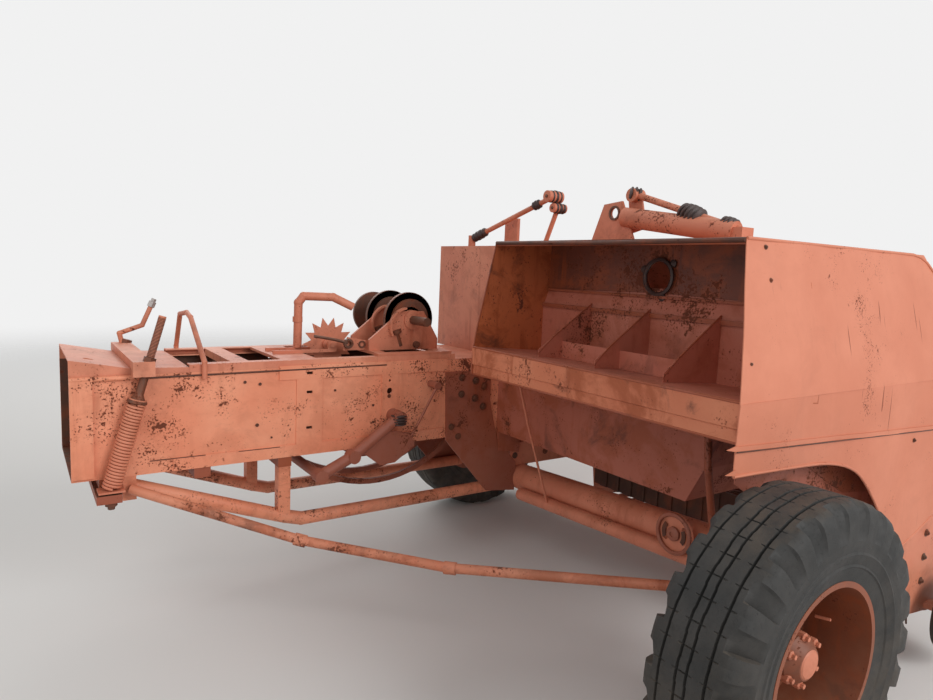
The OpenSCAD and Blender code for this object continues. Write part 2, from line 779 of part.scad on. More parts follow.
module metering_arm() {
    color(paint) seated() {
        round_y(star_x, star_z, 24, mid_y - 60, mid_y + 60);
        for (s = [-1, 1]) {
            slab([star_x - 20, mid_y + s * 50 - 5, chamber_top + rail_h + seat],
                 [star_x + 20, mid_y + s * 50 + 5, star_z + 16]);
        }
        for (s = [-1, 1]) {
            slab([-860, mid_y + s * 50 - 5, chamber_top + rail_h + seat],
                 [star_x - 20, mid_y + s * 50 + 5, chamber_top + rail_h + 14]);
        }
        bent_bar([[-715, mid_y + 52, chamber_top + rail_h + 12], [-712, mid_y + 52, 1255], [-690, mid_y + 48, 1285],
                  [-560, mid_y + 20, 1283], [-470, mid_y, 1240]], 38);
    }
}

// Needle yoke: arms outside the chamber, a cross tube under it and two curved needles
yoke_y = -62;
yoke_pivot = [-385, 775];
needle_c = [-375, 1000];
needle_r = 575;
module yoke_arm() {
    bar([yoke_pivot[0], yoke_y, yoke_pivot[1]], [-600, yoke_y, 625], 48);
    bar([-600, yoke_y, 625], [-745, yoke_y, 560], 48);
    round_y(-600, 625, 54, yoke_y - 27, yoke_y + 27);
    round_y(-745, 560, 56, yoke_y - 28, yoke_y + 28);
    plate_y([[-560, 640], [-420, 720], [-325, 700], [-300, 640], [-400, 575], [-470, 570]], yoke_y - 6, 8);
    round_y(yoke_pivot[0], yoke_pivot[1], 60, yoke_y - 28, -strip_t - seat);
}

module needle_yoke() {
    color(paint) seated() {
        both_sides() yoke_arm();
        bar([-745, yoke_y, 560], [-745, chamber_w - yoke_y, 560], 42);
        for (y = needle_y) {
            plate_y(concat(arc(needle_c, needle_r + 12, 230, 313, 16), arc(needle_c, needle_r - 12, 314, 230, 16)),
                    y - 8, 16);
        }
        bar([-190, yoke_y - 2, 905], [-320, yoke_y - 2, 680], 12);
        round_y(-190, 905, 34, yoke_y - 10, -seat);
    }
}

// Drawbar with its pivot eye, hitch ears, jack sleeve and shaft cradle
hitch_x = pivot[0] + drawbar_len;
jack_x = 3050;
jack_y = mid_y + drawbar_w / 2 + 42;
jack_d = 58;
shaft_drop = 130;
drive_len = 1500;
function drive_z(x) = shaft_z - shaft_drop * (x - pivot[0]) / drive_len;
module drawbar() {
    z0 = drawbar_z - drawbar_h / 2;
    color(faded) seated() difference() {
        union() {
            translate([pivot[0], pivot[1], z0]) cylinder(h = drawbar_h, d = drawbar_w + 10);
            slab([pivot[0], mid_y - drawbar_w / 2, z0], [hitch_x - 110, mid_y + drawbar_w / 2, z0 + drawbar_h]);
            for (z = [z0, z0 + drawbar_h - 20]) {
                slab([hitch_x - 112, mid_y - 40, z], [hitch_x, mid_y + 40, z + 20]);
                translate([hitch_x, mid_y, z]) cylinder(h = 20, r = 45);
            }
            translate([jack_x, jack_y, 300]) cylinder(h = 530, d = jack_d + 18);
            translate([jack_x, jack_y, 826]) cylinder(h = 36, d = 34);
            bent_bar([[jack_x, jack_y, 854], [jack_x + 20, jack_y + 125, 858], [jack_x + 20, jack_y + 130, 950]], 14);
            bar([jack_x + 20, jack_y + 130, 940], [jack_x + 20, jack_y + 130, 1030], 26);
            slab([jack_x - 40, mid_y + drawbar_w / 2 - 1, z0], [jack_x + 40, jack_y - 30, z0 + drawbar_h]);
            slab([3280, mid_y - 30, z0 + drawbar_h - 1], [3310, mid_y + 30, drive_z(3310) - 46.6]);
        }
        translate([pivot[0], pivot[1], z0 - 1]) cylinder(h = drawbar_h + 2, d = pivot_d + 2 * run);
        slab([pivot[0] + 90, mid_y - drawbar_w / 2 + 6, z0 + 6],
             [hitch_x - 130, mid_y + drawbar_w / 2 - 6, z0 + drawbar_h - 6]);
        translate([hitch_x, mid_y, z0 - 1]) cylinder(h = drawbar_h + 2, d = hitch_d);
        translate([jack_x, jack_y, 299]) cylinder(h = 515, d = jack_d + 2 * run);
    }
}

module drive_shaft() {
    v = [drive_len, 0, -shaft_drop];
    u = v / norm(v);
    c = [pivot[0], mid_y, shaft_z];
    color(steel) seated() {
        bar(c - 125 * u, c + 120 * u, 60);
        bar(c + 100 * u, c + 300 * u, 120);
        bar(c + 300 * u, c + (drive_len - 280) * u, 92);
        bar(c + (drive_len - 280) * u, c + (drive_len - 100) * u, 120);
        difference() {
            bar(c + (drive_len - 120) * u, c + (drive_len + 40) * u, 64);
            bar(c + (drive_len - 40) * u, c + (drive_len + 60) * u, 35);
        }
    }
}

module jack_leg() {
    color(steel) seated() translate([jack_x, jack_y, 0]) {
        translate([-90, -80, 0]) cube([180, 160, 10]);
        translate([0, 0, 9]) cylinder(h = 511, d = jack_d);
    }
}

// Pickup: side plates, rear tube and floor sheet, hinged below the feeder's mouth
pick_hinge = [890, 560];
pick_right = -1590;
pick_left = -30;
pick_t = 6;
hinge_d = 50;
module pickup_plate(y) {
    difference() {
        union() {
            round_y(reel_x, reel_z, 430, y, y + pick_t);
            plate_y([[pick_hinge[0] - 45, pick_hinge[1] - 40], [885, 225], [reel_x - 60, reel_z - 206],
                     [reel_x + 60, reel_z + 206], [guard_hinge[0] + 30, guard_hinge[1] + 14],
                     [guard_hinge[0] - 30, guard_hinge[1] + 14], [pick_hinge[0] - 45, pick_hinge[1] + 50]], y, pick_t);
            round_y(guard_hinge[0], guard_hinge[1], 66, y, y + pick_t);
        }
        hole_y(guard_hinge[0], guard_hinge[1], 20 + 2 * run, y - 1, y + pick_t + 1);
        hole_y(reel_x, reel_z, 50 + 2 * run, y - 1, y + pick_t + 1);
        hole_y(reel_x + 110, reel_z + 90, 40, y - 1, y + pick_t + 1);
    }
}

module pickup_frame() {
    color(paint) seated() {
        pickup_plate(pick_right);
        pickup_plate(pick_left - pick_t);
        round_y(pick_hinge[0], pick_hinge[1], hinge_d, pick_right + pick_t, pick_left - pick_t);
        slab([1120, pick_right - 55, 205], [1180, pick_right, 225]);
        round_y(1150, 215, 30, pick_right - 125, pick_right);
    }
}

reel_ends = 40;
band_gap = (pick_left - pick_right - 2 * reel_ends) / band_n;
band_w = band_gap - 34;
module pickup_bands() {
    y0 = pick_right + pick_t + seat;
    y1 = pick_left - pick_t - seat;
    tail_x = reel_x - tine_r + 40;
    color(faded) seated() {
        difference() {
            for (i = [0 : band_n - 1]) {
                y = pick_right + reel_ends + (i + 0.5) * band_gap;
                round_y(reel_x, reel_z, 2 * band_r, y - band_w / 2, y + band_w / 2);
                slab([tail_x, y - band_w / 2, reel_z - band_r], [reel_x, y + band_w / 2, reel_z + band_r]);
            }
            for (i = [0 : band_n - 1]) {
                y = pick_right + reel_ends + (i + 0.5) * band_gap;
                round_y(reel_x, reel_z, 2 * band_r - 6, y - band_w / 2 - 1, y + band_w / 2 + 1);
                slab([tail_x - 1, y - band_w / 2 - 1, reel_z - band_r + 3],
                     [reel_x, y + band_w / 2 + 1, reel_z + band_r - 3]);
            }
        }
        slab([tail_x - 1, y0, reel_z + band_r - 4], [tail_x + 18, y1, reel_z + band_r]);
        slab([tail_x - 1, y0, reel_z - band_r], [tail_x + 4, y1, reel_z - band_r + 25]);
    }
}

bar_n = 4;
bar_r = 130;
module pickup_reel() {
    color(steel) seated() {
        round_y(reel_x, reel_z, 50, pick_right, pick_left);
        for (y = [pick_right + 14, pick_left - 20]) {
            round_y(reel_x, reel_z, 2 * bar_r + 40, y, y + 6);
        }
        for (k = [0 : bar_n - 1]) {
            translate([reel_x, 0, reel_z]) rotate([0, 90 * k + 20, 0]) {
                round_y(bar_r, 0, 28, pick_right + 16, pick_left - 16);
                for (i = [0 : band_n]) {
                    y = pick_right + reel_ends + i * band_gap;
                    translate([bar_r, y, 0]) rotate([0, 90, 0]) cylinder(h = tine_r - bar_r, d = 7, $fn = 6);
                }
            }
        }
    }
}

// Wind guard: a tube with rods that hold the crop down on the pickup
guard_hinge = [985, 730];
guard_n = 9;
guard_d = 12;
module wind_guard() {
    color(steel) seated() {
        round_y(guard_hinge[0], guard_hinge[1], 34, pick_right + pick_t + 2, pick_left - pick_t - 2);
        round_y(guard_hinge[0], guard_hinge[1], 20, pick_right, pick_left);
        for (i = [0 : guard_n - 1]) {
            y = pick_right + 90 + i * (pick_left - pick_right - 180) / (guard_n - 1);
            route = [[guard_hinge[0] + 13, y, guard_hinge[1] + 3], [1190, y, 778], [1360, y, 745], [1500, y, 640]];
            for (k = [0 : len(route) - 2]) {
                u = unit(route[k + 1] - route[k]);
                bar(route[k] + short(route, k, guard_d) * u, route[k + 1] - short(route, k + 1, guard_d) * u, guard_d);
            }
            // Flattened bends
            for (k = [1, 2]) {
                round_y(route[k][0], route[k][2], guard_d + 4, y - guard_d / 2 - 1, y + guard_d / 2 + 1);
            }
        }
    }
}

module gauge_wheel() {
    color(rubber) seated() translate([1150, pick_right - 95, 215]) rotate([90, 0, 0])
        rotate_extrude() polygon([[15 + run, -30], [40, -30], [40, -12], [110, -12], [110, -25], [140, -28],
            [150, -15], [150, 15], [140, 28], [110, 25], [110, 12], [40, 12], [40, 30], [15 + run, 30]]);
}

// Main wheel: tyre and dished rim, drawn round Z with the outer side up
module tyre_shape() {
    r = tyre_d / 2;
    h = tyre_w / 2;
    b = rim_d / 2 - 12;
    difference() {
        rotate_extrude($fn = 64) polygon([[b, -h + 30], [b + 26, -h + 16], [r - 120, -h], [r - 45, -h + 8],
            [r - 10, -h + 22], [r, -h + 60], [r, h - 60], [r - 10, h - 22], [r - 45, h - 8], [r - 120, h],
            [b + 26, h - 16], [b, h - 30]]);
        for (i = [0 : notch_n - 1]) {
            rotate([0, 0, 360 * i / notch_n]) for (z = [h - 24, -h - 7]) {
                translate([r - 72, -13, z]) cube([80, 26, 31]);
            }
        }
    }
}

module rim_shape() {
    h = tyre_w / 2;
    b = rim_d / 2 - 12 - seat;
    s = spindle_d / 2 + run;
    rotate_extrude($fn = 64) polygon([[b, -h + 24], [b, h - 24], [b + 10, h - 21], [b + 10, h - 17], [b - 6, h - 17],
        [b - 6, -h + 50], [130, -h + 30], [82, -h + 36], [70, 36], [44, 64], [0, 70], [0, spindle_over + 12],
        [s, spindle_over + 12], [s, -h + 20], [120, -h + 20], [b - 14, -h + 34], [b - 6, -h + 17],
        [b + 10, -h + 17], [b + 10, -h + 21]]);
}

module tyre_right() {
    color(rubber) seated() translate([wheel_x, right_wheel_y, wheel_z]) rotate([90, 0, 0]) tyre_shape();
}

module rim_right() {
    color(paint) seated() translate([wheel_x, right_wheel_y, wheel_z]) rotate([90, 0, 0]) rim_shape();
}

module tyre_left() {
    color(rubber) seated() translate([left_wheel_x, left_wheel_y, wheel_z]) rotate([-90, 0, 0]) tyre_shape();
}

module rim_left() {
    color(paint) seated() translate([left_wheel_x, left_wheel_y, wheel_z]) rotate([-90, 0, 0]) rim_shape();
}

chamber_right_side();
chamber_left_side();
chamber_floor();
chamber_top_rails();
density_plate();
density_crossbeam();
density_springs();
bale_hoop();
lower_braces();
diagonal_brace();
gusset_plates();
axle_beam();
axle_arms();
lift_pipe();
frame_rails();
front_frame();
crank_housing();
gearbox();
flywheel();
feeder_housing();
wheel_guard();
side_panel();
twine_box();
twine_partitions();
top_cover();
packer_linkage_left();
packer_linkage_right();
knotter_frames();
knotter_shaft();
metering_wheel();
metering_arm();
needle_yoke();
drawbar();
drive_shaft();
jack_leg();
pickup_frame();
pickup_bands();
pickup_reel();
wind_guard();
gauge_wheel();
tyre_right();
rim_right();
tyre_left();
rim_left();
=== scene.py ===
"""Looks of a worn in-line square baler, laid out as an add-on and run as a script.

Lengths in the tables are millimetres from the baler's own datum: X forward from just ahead of the
right wheel's axle, Y to the left from the bale chamber's right side, Z up from the ground. at() turns
them into the shared frame, in metres.
"""
import json
import math

import bmesh
import bpy
from bpy.props import FloatProperty, FloatVectorProperty, IntProperty, PointerProperty
from mathutils import Matrix, Vector, noise


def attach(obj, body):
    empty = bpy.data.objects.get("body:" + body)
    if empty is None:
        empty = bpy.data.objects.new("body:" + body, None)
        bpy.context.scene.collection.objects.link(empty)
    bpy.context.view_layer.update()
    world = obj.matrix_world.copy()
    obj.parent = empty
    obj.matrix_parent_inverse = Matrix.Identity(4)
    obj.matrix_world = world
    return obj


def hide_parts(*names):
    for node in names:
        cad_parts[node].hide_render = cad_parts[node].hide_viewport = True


bl_info = {
    "name": "Square baler",
    "version": (1, 0, 0),
    "blender": (4, 5, 0),
    "location": "3D View > Sidebar > Baler",
    "description": "Dresses the packed square baler with its sheet metal, tyres, knotters and worn paint",
    "category": "Object",
}

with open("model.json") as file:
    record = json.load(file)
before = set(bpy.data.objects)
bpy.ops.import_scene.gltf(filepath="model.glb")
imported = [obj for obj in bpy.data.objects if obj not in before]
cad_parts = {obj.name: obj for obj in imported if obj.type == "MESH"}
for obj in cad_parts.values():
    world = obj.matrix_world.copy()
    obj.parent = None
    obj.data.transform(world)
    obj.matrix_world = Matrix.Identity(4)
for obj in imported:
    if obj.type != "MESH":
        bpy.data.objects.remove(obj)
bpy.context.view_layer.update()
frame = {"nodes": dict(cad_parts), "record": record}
joints = {j["name"]: j for j in frame["record"]["behaviour"]["joints"]}

# The datum: PIVOT_X metres behind the drawbar's pivot, at the chamber's right side
PIVOT_X = 2.33
DATUM_X = joints["drawbar_swing"]["pos_m"][0] - PIVOT_X
MID_Y = joints["flywheel_spin"]["pos_m"][1]
CHAMBER_W = 510.0


def at(x, y, z):
    """Point of the datum's millimetres in the shared frame."""
    return Vector((DATUM_X + x / 1000, MID_Y + (y - CHAMBER_W / 2) / 1000, z / 1000))


def srgb(red, green, blue):
    """Linear colour of an 8-bit one."""
    return tuple(((c / 255 + 0.055) / 1.055) ** 2.4 if c > 10 else c / 3294.6
                 for c in (red, green, blue)) + (1.0,)


# ---------------------------------------------------------------- settings


class BalerPaint(bpy.types.PropertyGroup):
    """Colours of the worn finish."""
    paint: FloatVectorProperty(name="Paint", description="Shaded paint", subtype="COLOR", size=4,
                               default=srgb(204, 120, 92), min=0, max=1)
    faded: FloatVectorProperty(name="Faded paint", description="Paint bleached by the sun", subtype="COLOR",
                               size=4, default=srgb(232, 156, 124), min=0, max=1)
    rust: FloatVectorProperty(name="Dark rust", description="Old rust in the chips", subtype="COLOR",
                              size=4, default=srgb(80, 42, 30), min=0, max=1)
    fresh_rust: FloatVectorProperty(name="Fresh rust", description="Bright rust on bare sheet",
                                    subtype="COLOR", size=4, default=srgb(148, 70, 34), min=0, max=1)
    rubber: FloatVectorProperty(name="Rubber", description="Dusty tyre rubber", subtype="COLOR", size=4,
                                default=srgb(31, 31, 30), min=0, max=1)


class BalerWheels(bpy.types.PropertyGroup):
    """Sizes of the wheels and their tread."""
    blocks: IntProperty(name="Shoulder blocks", description="Blocks round each shoulder", default=24,
                        min=12, max=40)
    groove: FloatProperty(name="Groove depth", description="Depth of the tread grooves", default=0.009,
                          min=0.003, max=0.015, unit="LENGTH")
    nuts: IntProperty(name="Wheel nuts", description="Nuts that hold each rim", default=6, min=4, max=10)


class BalerDetails(bpy.types.PropertyGroup):
    """Sizes of the springs and depth of the dents."""
    coils: IntProperty(name="Spring coils", description="Turns of each tension spring", default=27, min=15,
                       max=40)
    wire: FloatProperty(name="Spring wire", description="Diameter of the spring wire", default=0.010,
                        min=0.006, max=0.014, unit="LENGTH")
    dent: FloatProperty(name="Dents", description="Depth of the dents in the sheet metal", default=0.004,
                        min=0.0, max=0.008, unit="LENGTH")


class BalerStage(bpy.types.PropertyGroup):
    """The photograph's camera."""
    lens: FloatProperty(name="Lens", description="Focal length for a 36 mm sensor", default=25.928, min=10,
                        max=100)
    yaw: FloatProperty(name="Yaw", description="Turn of the view from the left side towards the front",
                       default=math.radians(34.148), subtype="ANGLE")
    pitch: FloatProperty(name="Pitch", description="Tilt of the view downwards",
                         default=math.radians(6.874), subtype="ANGLE")
    roll: FloatProperty(name="Roll", description="Roll of the camera", default=math.radians(2.415),
                        subtype="ANGLE")
    place: FloatVectorProperty(name="Camera", description="Place of the camera, in the baler's own datum",
                               default=(-1.777, -2.626, 1.437), subtype="TRANSLATION")


# ---------------------------------------------------------------- node helpers


class Nodes:
    """Short way to add linked nodes to a tree."""

    def __init__(self, tree):
        self.tree = tree

    def add(self, kind, inputs=None, **settings):
        """New node with its settings, and its inputs linked or set."""
        node = self.tree.nodes.new(kind)
        for key, value in settings.items():
            setattr(node, key, value)
        for key, value in (inputs or {}).items():
            socket = node.inputs[key]
            if isinstance(value, bpy.types.NodeSocket):
                self.link(value, socket)
            else:
                socket.default_value = value
        return node

    def link(self, source, socket):
        self.tree.links.new(source, socket)

    def math(self, operation, a, b, clamp=False):
        return self.add("ShaderNodeMath", {0: a, 1: b}, operation=operation, use_clamp=clamp).outputs[0]

    def plus(self, a, b):
        return self.math("ADD", a, b)

    def minus(self, a, b):
        return self.math("SUBTRACT", a, b)

    def times(self, a, b, clamp=False):
        return self.math("MULTIPLY", a, b, clamp)

    def mix(self, factor, a, b):
        """Colour a where the factor is 0, b where it is 1."""
        return self.add("ShaderNodeMix", {0: factor, 6: a, 7: b}, data_type="RGBA").outputs[2]

    def attribute(self, name, kind):
        """What a point carries under a name."""
        return self.add("GeometryNodeInputNamedAttribute", {"Name": name}, data_type=kind).outputs[0]

    def noise(self, vector, scale, detail=4.0, rough=0.55, distortion=0.0):
        return self.add("ShaderNodeTexNoise", {"Vector": vector, "Scale": scale, "Detail": detail,
                                               "Roughness": rough, "Distortion": distortion}).outputs["Fac"]

    def step(self, value, low, high):
        """0 below low, 1 above high, smooth between."""
        return self.add("ShaderNodeMapRange", {"Value": value, "From Min": low, "From Max": high},
                        interpolation_type="SMOOTHSTEP").outputs[0]


def shader_group(name, inputs, outputs):
    """Empty shader group with the named sockets: name, kind and default."""
    group = bpy.data.node_groups.new(name, "ShaderNodeTree")
    for label, kind, default in inputs:
        socket = group.interface.new_socket(label, in_out="INPUT", socket_type=f"NodeSocket{kind}")
        if default is not None:
            socket.default_value = default
    for label, kind in outputs:
        group.interface.new_socket(label, in_out="OUTPUT", socket_type=f"NodeSocket{kind}")
    nodes = Nodes(group)
    return nodes, nodes.add("NodeGroupInput").outputs, nodes.add("NodeGroupOutput").inputs


def rust_group():
    """Chips, streaks and scratches of rust over any paint, with the height of the eaten spots."""
    n, given, out = shader_group(
        "Rust wear",
        [("Vector", "Vector", None),
         ("Paint", "Color", (0.5, 0.2, 0.1, 1)), ("Pale", "Color", (0.7, 0.3, 0.2, 1)),
         ("Rust", "Color", (0.1, 0.03, 0.01, 1)), ("Stain", "Color", (0.3, 0.1, 0.03, 1)),
         ("Chips", "Float", 0.4), ("Streaks", "Float", 0.4), ("Scratches", "Float", 0.3),
         ("Fading", "Float", 0.5), ("Grain", "Float", 1.0)],
        [("Color", "Color"), ("Rough", "Float"), ("Height", "Float"), ("Rust", "Float")])
    where = given["Vector"]
    fine = n.add("ShaderNodeVectorMath", {0: where, "Scale": given["Grain"]}, operation="SCALE").outputs[0]
    # Chips: specks and flakes, thicker where a broad noise gathers them, with a stained halo
    cluster = n.plus(n.times(n.noise(where, 1.9, 2.0), 0.45), n.times(n.noise(where, 8.0, 3.0, 0.6), 0.55))
    cluster = n.times(n.minus(cluster, 0.5), 1.25)
    limit = n.minus(0.82, n.times(given["Chips"], 0.26))
    specks = n.minus(n.plus(n.noise(fine, 120.0, 4.0, 0.6), cluster), limit)
    flakes = n.minus(n.plus(n.noise(fine, 30.0, 6.0, 0.66), cluster), n.plus(limit, 0.02))
    eaten = n.math("MAXIMUM", specks, flakes)
    spot = n.step(eaten, 0.0, 0.04)
    halo = n.step(eaten, -0.08, 0.03)
    # Rust that runs down the sheet, brown blotches and dark ones
    run = n.add("ShaderNodeMapping", {"Vector": where, "Scale": (26.0, 26.0, 2.2)}).outputs[0]
    streak = n.step(n.noise(run, 1.0, 5.0, 0.6, 0.2), 0.52, 0.7)
    streak = n.times(streak, n.step(n.noise(where, 2.6, 2.0), 0.4, 0.62))
    streak, blotch, soot = (n.times(layer, given["Streaks"], clamp=True) for layer in (
        streak, n.step(n.noise(where, 5.5, 6.0, 0.68, 0.4), 0.47, 0.62),
        n.step(n.noise(where, 4.2, 7.0, 0.7, 0.6), 0.54, 0.68)))
    # Scratches: three sets of long thin lines, each with its tilt
    line = 0.0
    for tilt, across, along in ((0.12, 62.0, 2.2), (0.55, 78.0, 3.2), (-0.85, 70.0, 4.5)):
        turned = n.add("ShaderNodeMapping", {"Vector": where, "Rotation": (0, tilt, 0),
                                             "Scale": (across, 8.0, along)}).outputs[0]
        line = n.math("MAXIMUM", n.step(n.noise(turned, 1.0, 1.0, 0.3, 0.15), 0.785, 0.81), line)
    line = n.times(line, given["Scratches"], clamp=True)
    # The coat from the paint up
    fade = n.times(n.step(n.noise(where, 2.3, 5.0, 0.62), 0.3, 0.72), given["Fading"], clamp=True)
    base = n.mix(fade, given["Paint"], given["Pale"])
    grime = n.times(n.noise(where, 11.0, 6.0, 0.7), 0.34)
    base = n.mix(grime, base, n.mix(0.55, given["Paint"], given["Stain"]))
    base = n.mix(n.times(blotch, 0.75), base, given["Stain"])
    base = n.mix(n.times(soot, 0.75), base, given["Rust"])
    base = n.mix(streak, base, given["Stain"])
    base = n.mix(n.times(halo, 0.4), base, given["Stain"])
    mask = n.math("MAXIMUM", spot, line)
    dark = n.mix(n.times(n.noise(where, 90.0, 3.0), 0.6), given["Rust"], given["Stain"])
    n.link(n.mix(mask, base, dark), out["Color"])
    n.link(n.plus(0.56, n.times(mask, 0.34)), out["Rough"])
    soft = n.times(n.noise(where, 60.0, 5.0, 0.6), 0.25)
    n.link(n.minus(soft, n.times(mask, 0.8)), out["Height"])
    n.link(mask, out["Rust"])
    return n.tree


def dust_group():
    """Pale dust that gathers towards the ground and on what faces up."""
    n, given, out = shader_group(
        "Field dust",
        [("Vector", "Vector", None), ("Color", "Color", (0.3, 0.1, 0.1, 1)),
         ("Dust", "Color", srgb(150, 128, 104)), ("Amount", "Float", 0.4), ("Reach", "Float", 0.7)],
        [("Color", "Color")])
    height = n.add("ShaderNodeSeparateXYZ", {"Vector": given["Vector"]}).outputs["Z"]
    low = n.math("SUBTRACT", 1.0, n.math("DIVIDE", height, given["Reach"]), clamp=True)
    facing = n.add("ShaderNodeNewGeometry").outputs["Normal"]
    up = n.add("ShaderNodeSeparateXYZ", {"Vector": facing}).outputs["Z"]
    lie = n.times(n.step(up, 0.55, 0.95), 0.45)
    patches = n.step(n.noise(given["Vector"], 14.0, 6.0, 0.65), 0.3, 0.7)
    amount = n.times(n.times(n.plus(n.times(low, 0.7), lie), patches), given["Amount"], clamp=True)
    n.link(n.mix(amount, given["Color"], given["Dust"]), out["Color"])
    return n.tree


def new_material(name):
    """New material: itself, its nodes, its shader's inputs and the object's coordinates."""
    material = bpy.data.materials.new(name)
    material.use_nodes = True
    n = Nodes(material.node_tree)
    shader = material.node_tree.nodes["Principled BSDF"].inputs
    return material, n, shader, n.add("ShaderNodeTexCoord").outputs["Object"]


GROUPS = {}


def group(kind):
    """A shader group, built once."""
    if kind not in GROUPS:
        GROUPS[kind] = {"rust": rust_group, "dust": dust_group}[kind]()
    return GROUPS[kind]


# Worn finishes: shaded and pale colour, then chips, streaks, scratches, fading and dust, and what differs
# in bump, metal or grain. A word stands for a colour of the settings.
PAINTS = {
    "faded_paint": ("paint", "faded", (0.42, 0.3, 0.25, 1.0, 0.25), {}),
    "paint": ("paint", "faded", (0.34, 0.35, 0.2, 0.45, 0.3), {}),
    "panel_paint": ((204, 122, 92), (218, 138, 108), (0.3, 0.06, 0.75, 0.8, 0.1), {"grain": 1.7}),
    "pitted_paint": ((230, 139, 104), (246, 169, 134), (0.72, 0.22, 0.2, 0.9, 0.15), {}),
    "rusty_sheet": ((150, 78, 56), "fresh_rust", (0.66, 0.9, 0.1, 0.9, 0.15), {"bump": 0.0016}),
    # Inside of the twine box under its roof: dark rust, darker still with painted shade
    "box_sheet": ((98, 48, 34), (116, 58, 38), (0.68, 1.0, 0.1, 1.0, 0.05), {"bump": 0.0016}),
    "rusty_wall": ((188, 101, 62), (200, 106, 60), (0.66, 1.0, 0.1, 0.8, 0.05), {}),
    "box_paint": ((184, 106, 86), (206, 128, 106), (0.5, 0.5, 0.2, 0.5, 0.1), {}),
    # The box's lip: rust on paint, lighter with a painted highlight where it catches the light
    "lip_paint": ((194, 112, 80), (214, 136, 102), (0.62, 1.0, 0.2, 0.8, 0.2), {}),
    "slope_paint": ((166, 92, 72), (184, 108, 88), (0.56, 0.8, 0.2, 0.6, 0.1), {}),
    "brace_paint": ((224, 132, 97), (240, 163, 129), (0.62, 0.5, 0.1, 0.8, 0.3), {}),
    "grimy_brace": ((202, 119, 87), (224, 152, 121), (0.66, 0.8, 0.1, 0.8, 0.3), {}),
    # Darker paint with grime; its darkness is painted shade for parts that lie under the box
    "grimy_paint": ((146, 82, 64), (170, 102, 80), (0.6, 0.5, 0.2, 0.7, 0.3), {}),
    # Rims: dark rust, darkened further with painted shade for the shadow they lie in
    "rim_paint": ((112, 58, 36), (150, 86, 58), (0.7, 0.6, 0.1, 0.6, 0.3), {}),
    # Inside of the bale chamber: bare steel darkened with painted shade, where the plates above overhang it
    "chamber_inside": ((74, 52, 42), (96, 66, 50), (0.6, 0.6, 0.4, 0.5, 0.3), {"metallic": 0.2}),
    "dark_iron": ((66, 44, 36), (92, 58, 44), (0.4, 0.4, 0.1, 0.5, 0.2), {"metallic": 0.3}),
    "bright_zinc": ((168, 168, 166), (196, 196, 192), (0.2, 0.1, 0.2, 0.5, 0.15), {"metallic": 0.6}),
    "bare_steel": ((84, 62, 52), (120, 84, 66), (0.5, 0.5, 0.2, 0.5, 0.3), {"metallic": 0.35}),
    "boot_rubber": ((34, 33, 34), (58, 57, 57), (0.0, 0.0, 0.0, 0.5, 0.2), {}),
    "worn_plastic": ((38, 38, 40), (70, 68, 66), (0.0, 0.0, 0.5, 0.6, 0.4), {}),
}


def worn_paint(name, tones, wear, bump=0.0012, metallic=0.0, grain=1.0):
    """Painted sheet with rust, streaks, scratches and dust."""
    colors = bpy.context.scene.baler_paint
    paint, pale = (tuple(getattr(colors, tone)) if isinstance(tone, str) else srgb(*tone) for tone in tones)
    chips, streaks, scratches, fading, dust = wear
    material, n, shader, where = new_material(name)
    rust = n.add("ShaderNodeGroup", {
        "Vector": where, "Paint": paint, "Pale": pale, "Rust": tuple(colors.rust),
        "Stain": tuple(colors.fresh_rust), "Chips": chips, "Streaks": streaks, "Scratches": scratches,
        "Fading": fading, "Grain": grain}, node_tree=group("rust"))
    dusty = n.add("ShaderNodeGroup", {"Vector": where, "Color": rust.outputs["Color"], "Amount": dust},
                  node_tree=group("dust"))
    relief = n.add("ShaderNodeBump", {"Height": rust.outputs["Height"], "Distance": bump, "Strength": 0.8})
    n.link(dusty.outputs["Color"], shader["Base Color"])
    n.link(rust.outputs["Rough"], shader["Roughness"])
    n.link(relief.outputs[0], shader["Normal"])
    shader["Metallic"].default_value = metallic
    return material


def tyre_rubber():
    """Grey sun-dried rubber with fine cracks and dust."""
    colors = bpy.context.scene.baler_paint
    material, n, shader, where = new_material("tyre_rubber")
    tone = n.mix(n.step(n.noise(where, 9.0, 6.0, 0.65), 0.3, 0.7), tuple(colors.rubber), srgb(50, 48, 46))
    cracks = n.step(n.noise(where, 120.0, 4.0, 0.7, 1.2), 0.58, 0.66)
    tone = n.mix(n.times(cracks, 0.35), tone, srgb(26, 26, 26))
    dusty = n.add("ShaderNodeGroup", {"Vector": where, "Color": tone, "Amount": 0.3},
                  node_tree=group("dust"))
    relief = n.add("ShaderNodeBump", {"Height": n.minus(n.noise(where, 70.0, 5.0), cracks),
                                      "Distance": 0.0008, "Strength": 0.6})
    n.link(dusty.outputs["Color"], shader["Base Color"])
    n.link(relief.outputs[0], shader["Normal"])
    n.link(n.plus(0.55, n.times(n.noise(where, 30.0), 0.3)), shader["Roughness"])
    return material


MATERIALS = {}


def finish(kind):
    """A material of the baler by its own name, built once."""
    if kind == "rubber" and kind not in MATERIALS:
        MATERIALS[kind] = tyre_rubber()
    elif kind not in MATERIALS:
        paint, pale, wear, more = PAINTS[kind]
        MATERIALS[kind] = worn_paint(kind, (paint, pale), wear, **more)
    return MATERIALS[kind]


# ---------------------------------------------------------------- mesh helpers

# Chamfer of a bar's ends in mm; how much of each leg a pipe's bend takes, and the longest leg that
# counts, in metres
CHAMFER = 1.5
BEND_SHARE, BEND_LEG = 0.7, 0.12


def new_object(name, data):
    """Object of the data, in the scene."""
    thing = bpy.data.objects.new(name, data)
    bpy.context.scene.collection.objects.link(thing)
    return thing


def piece(name, mesh, body, kind, replaces=(), smooth=None):
    """Object of a mesh that rides on a body, with its finish."""
    thing = new_object(name, mesh)
    if not mesh.materials:
        mesh.materials.append(finish(kind))
    if smooth is not None:
        shade(mesh, smooth)
    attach(thing, body)
    if replaces:
        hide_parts(*replaces)
    return thing


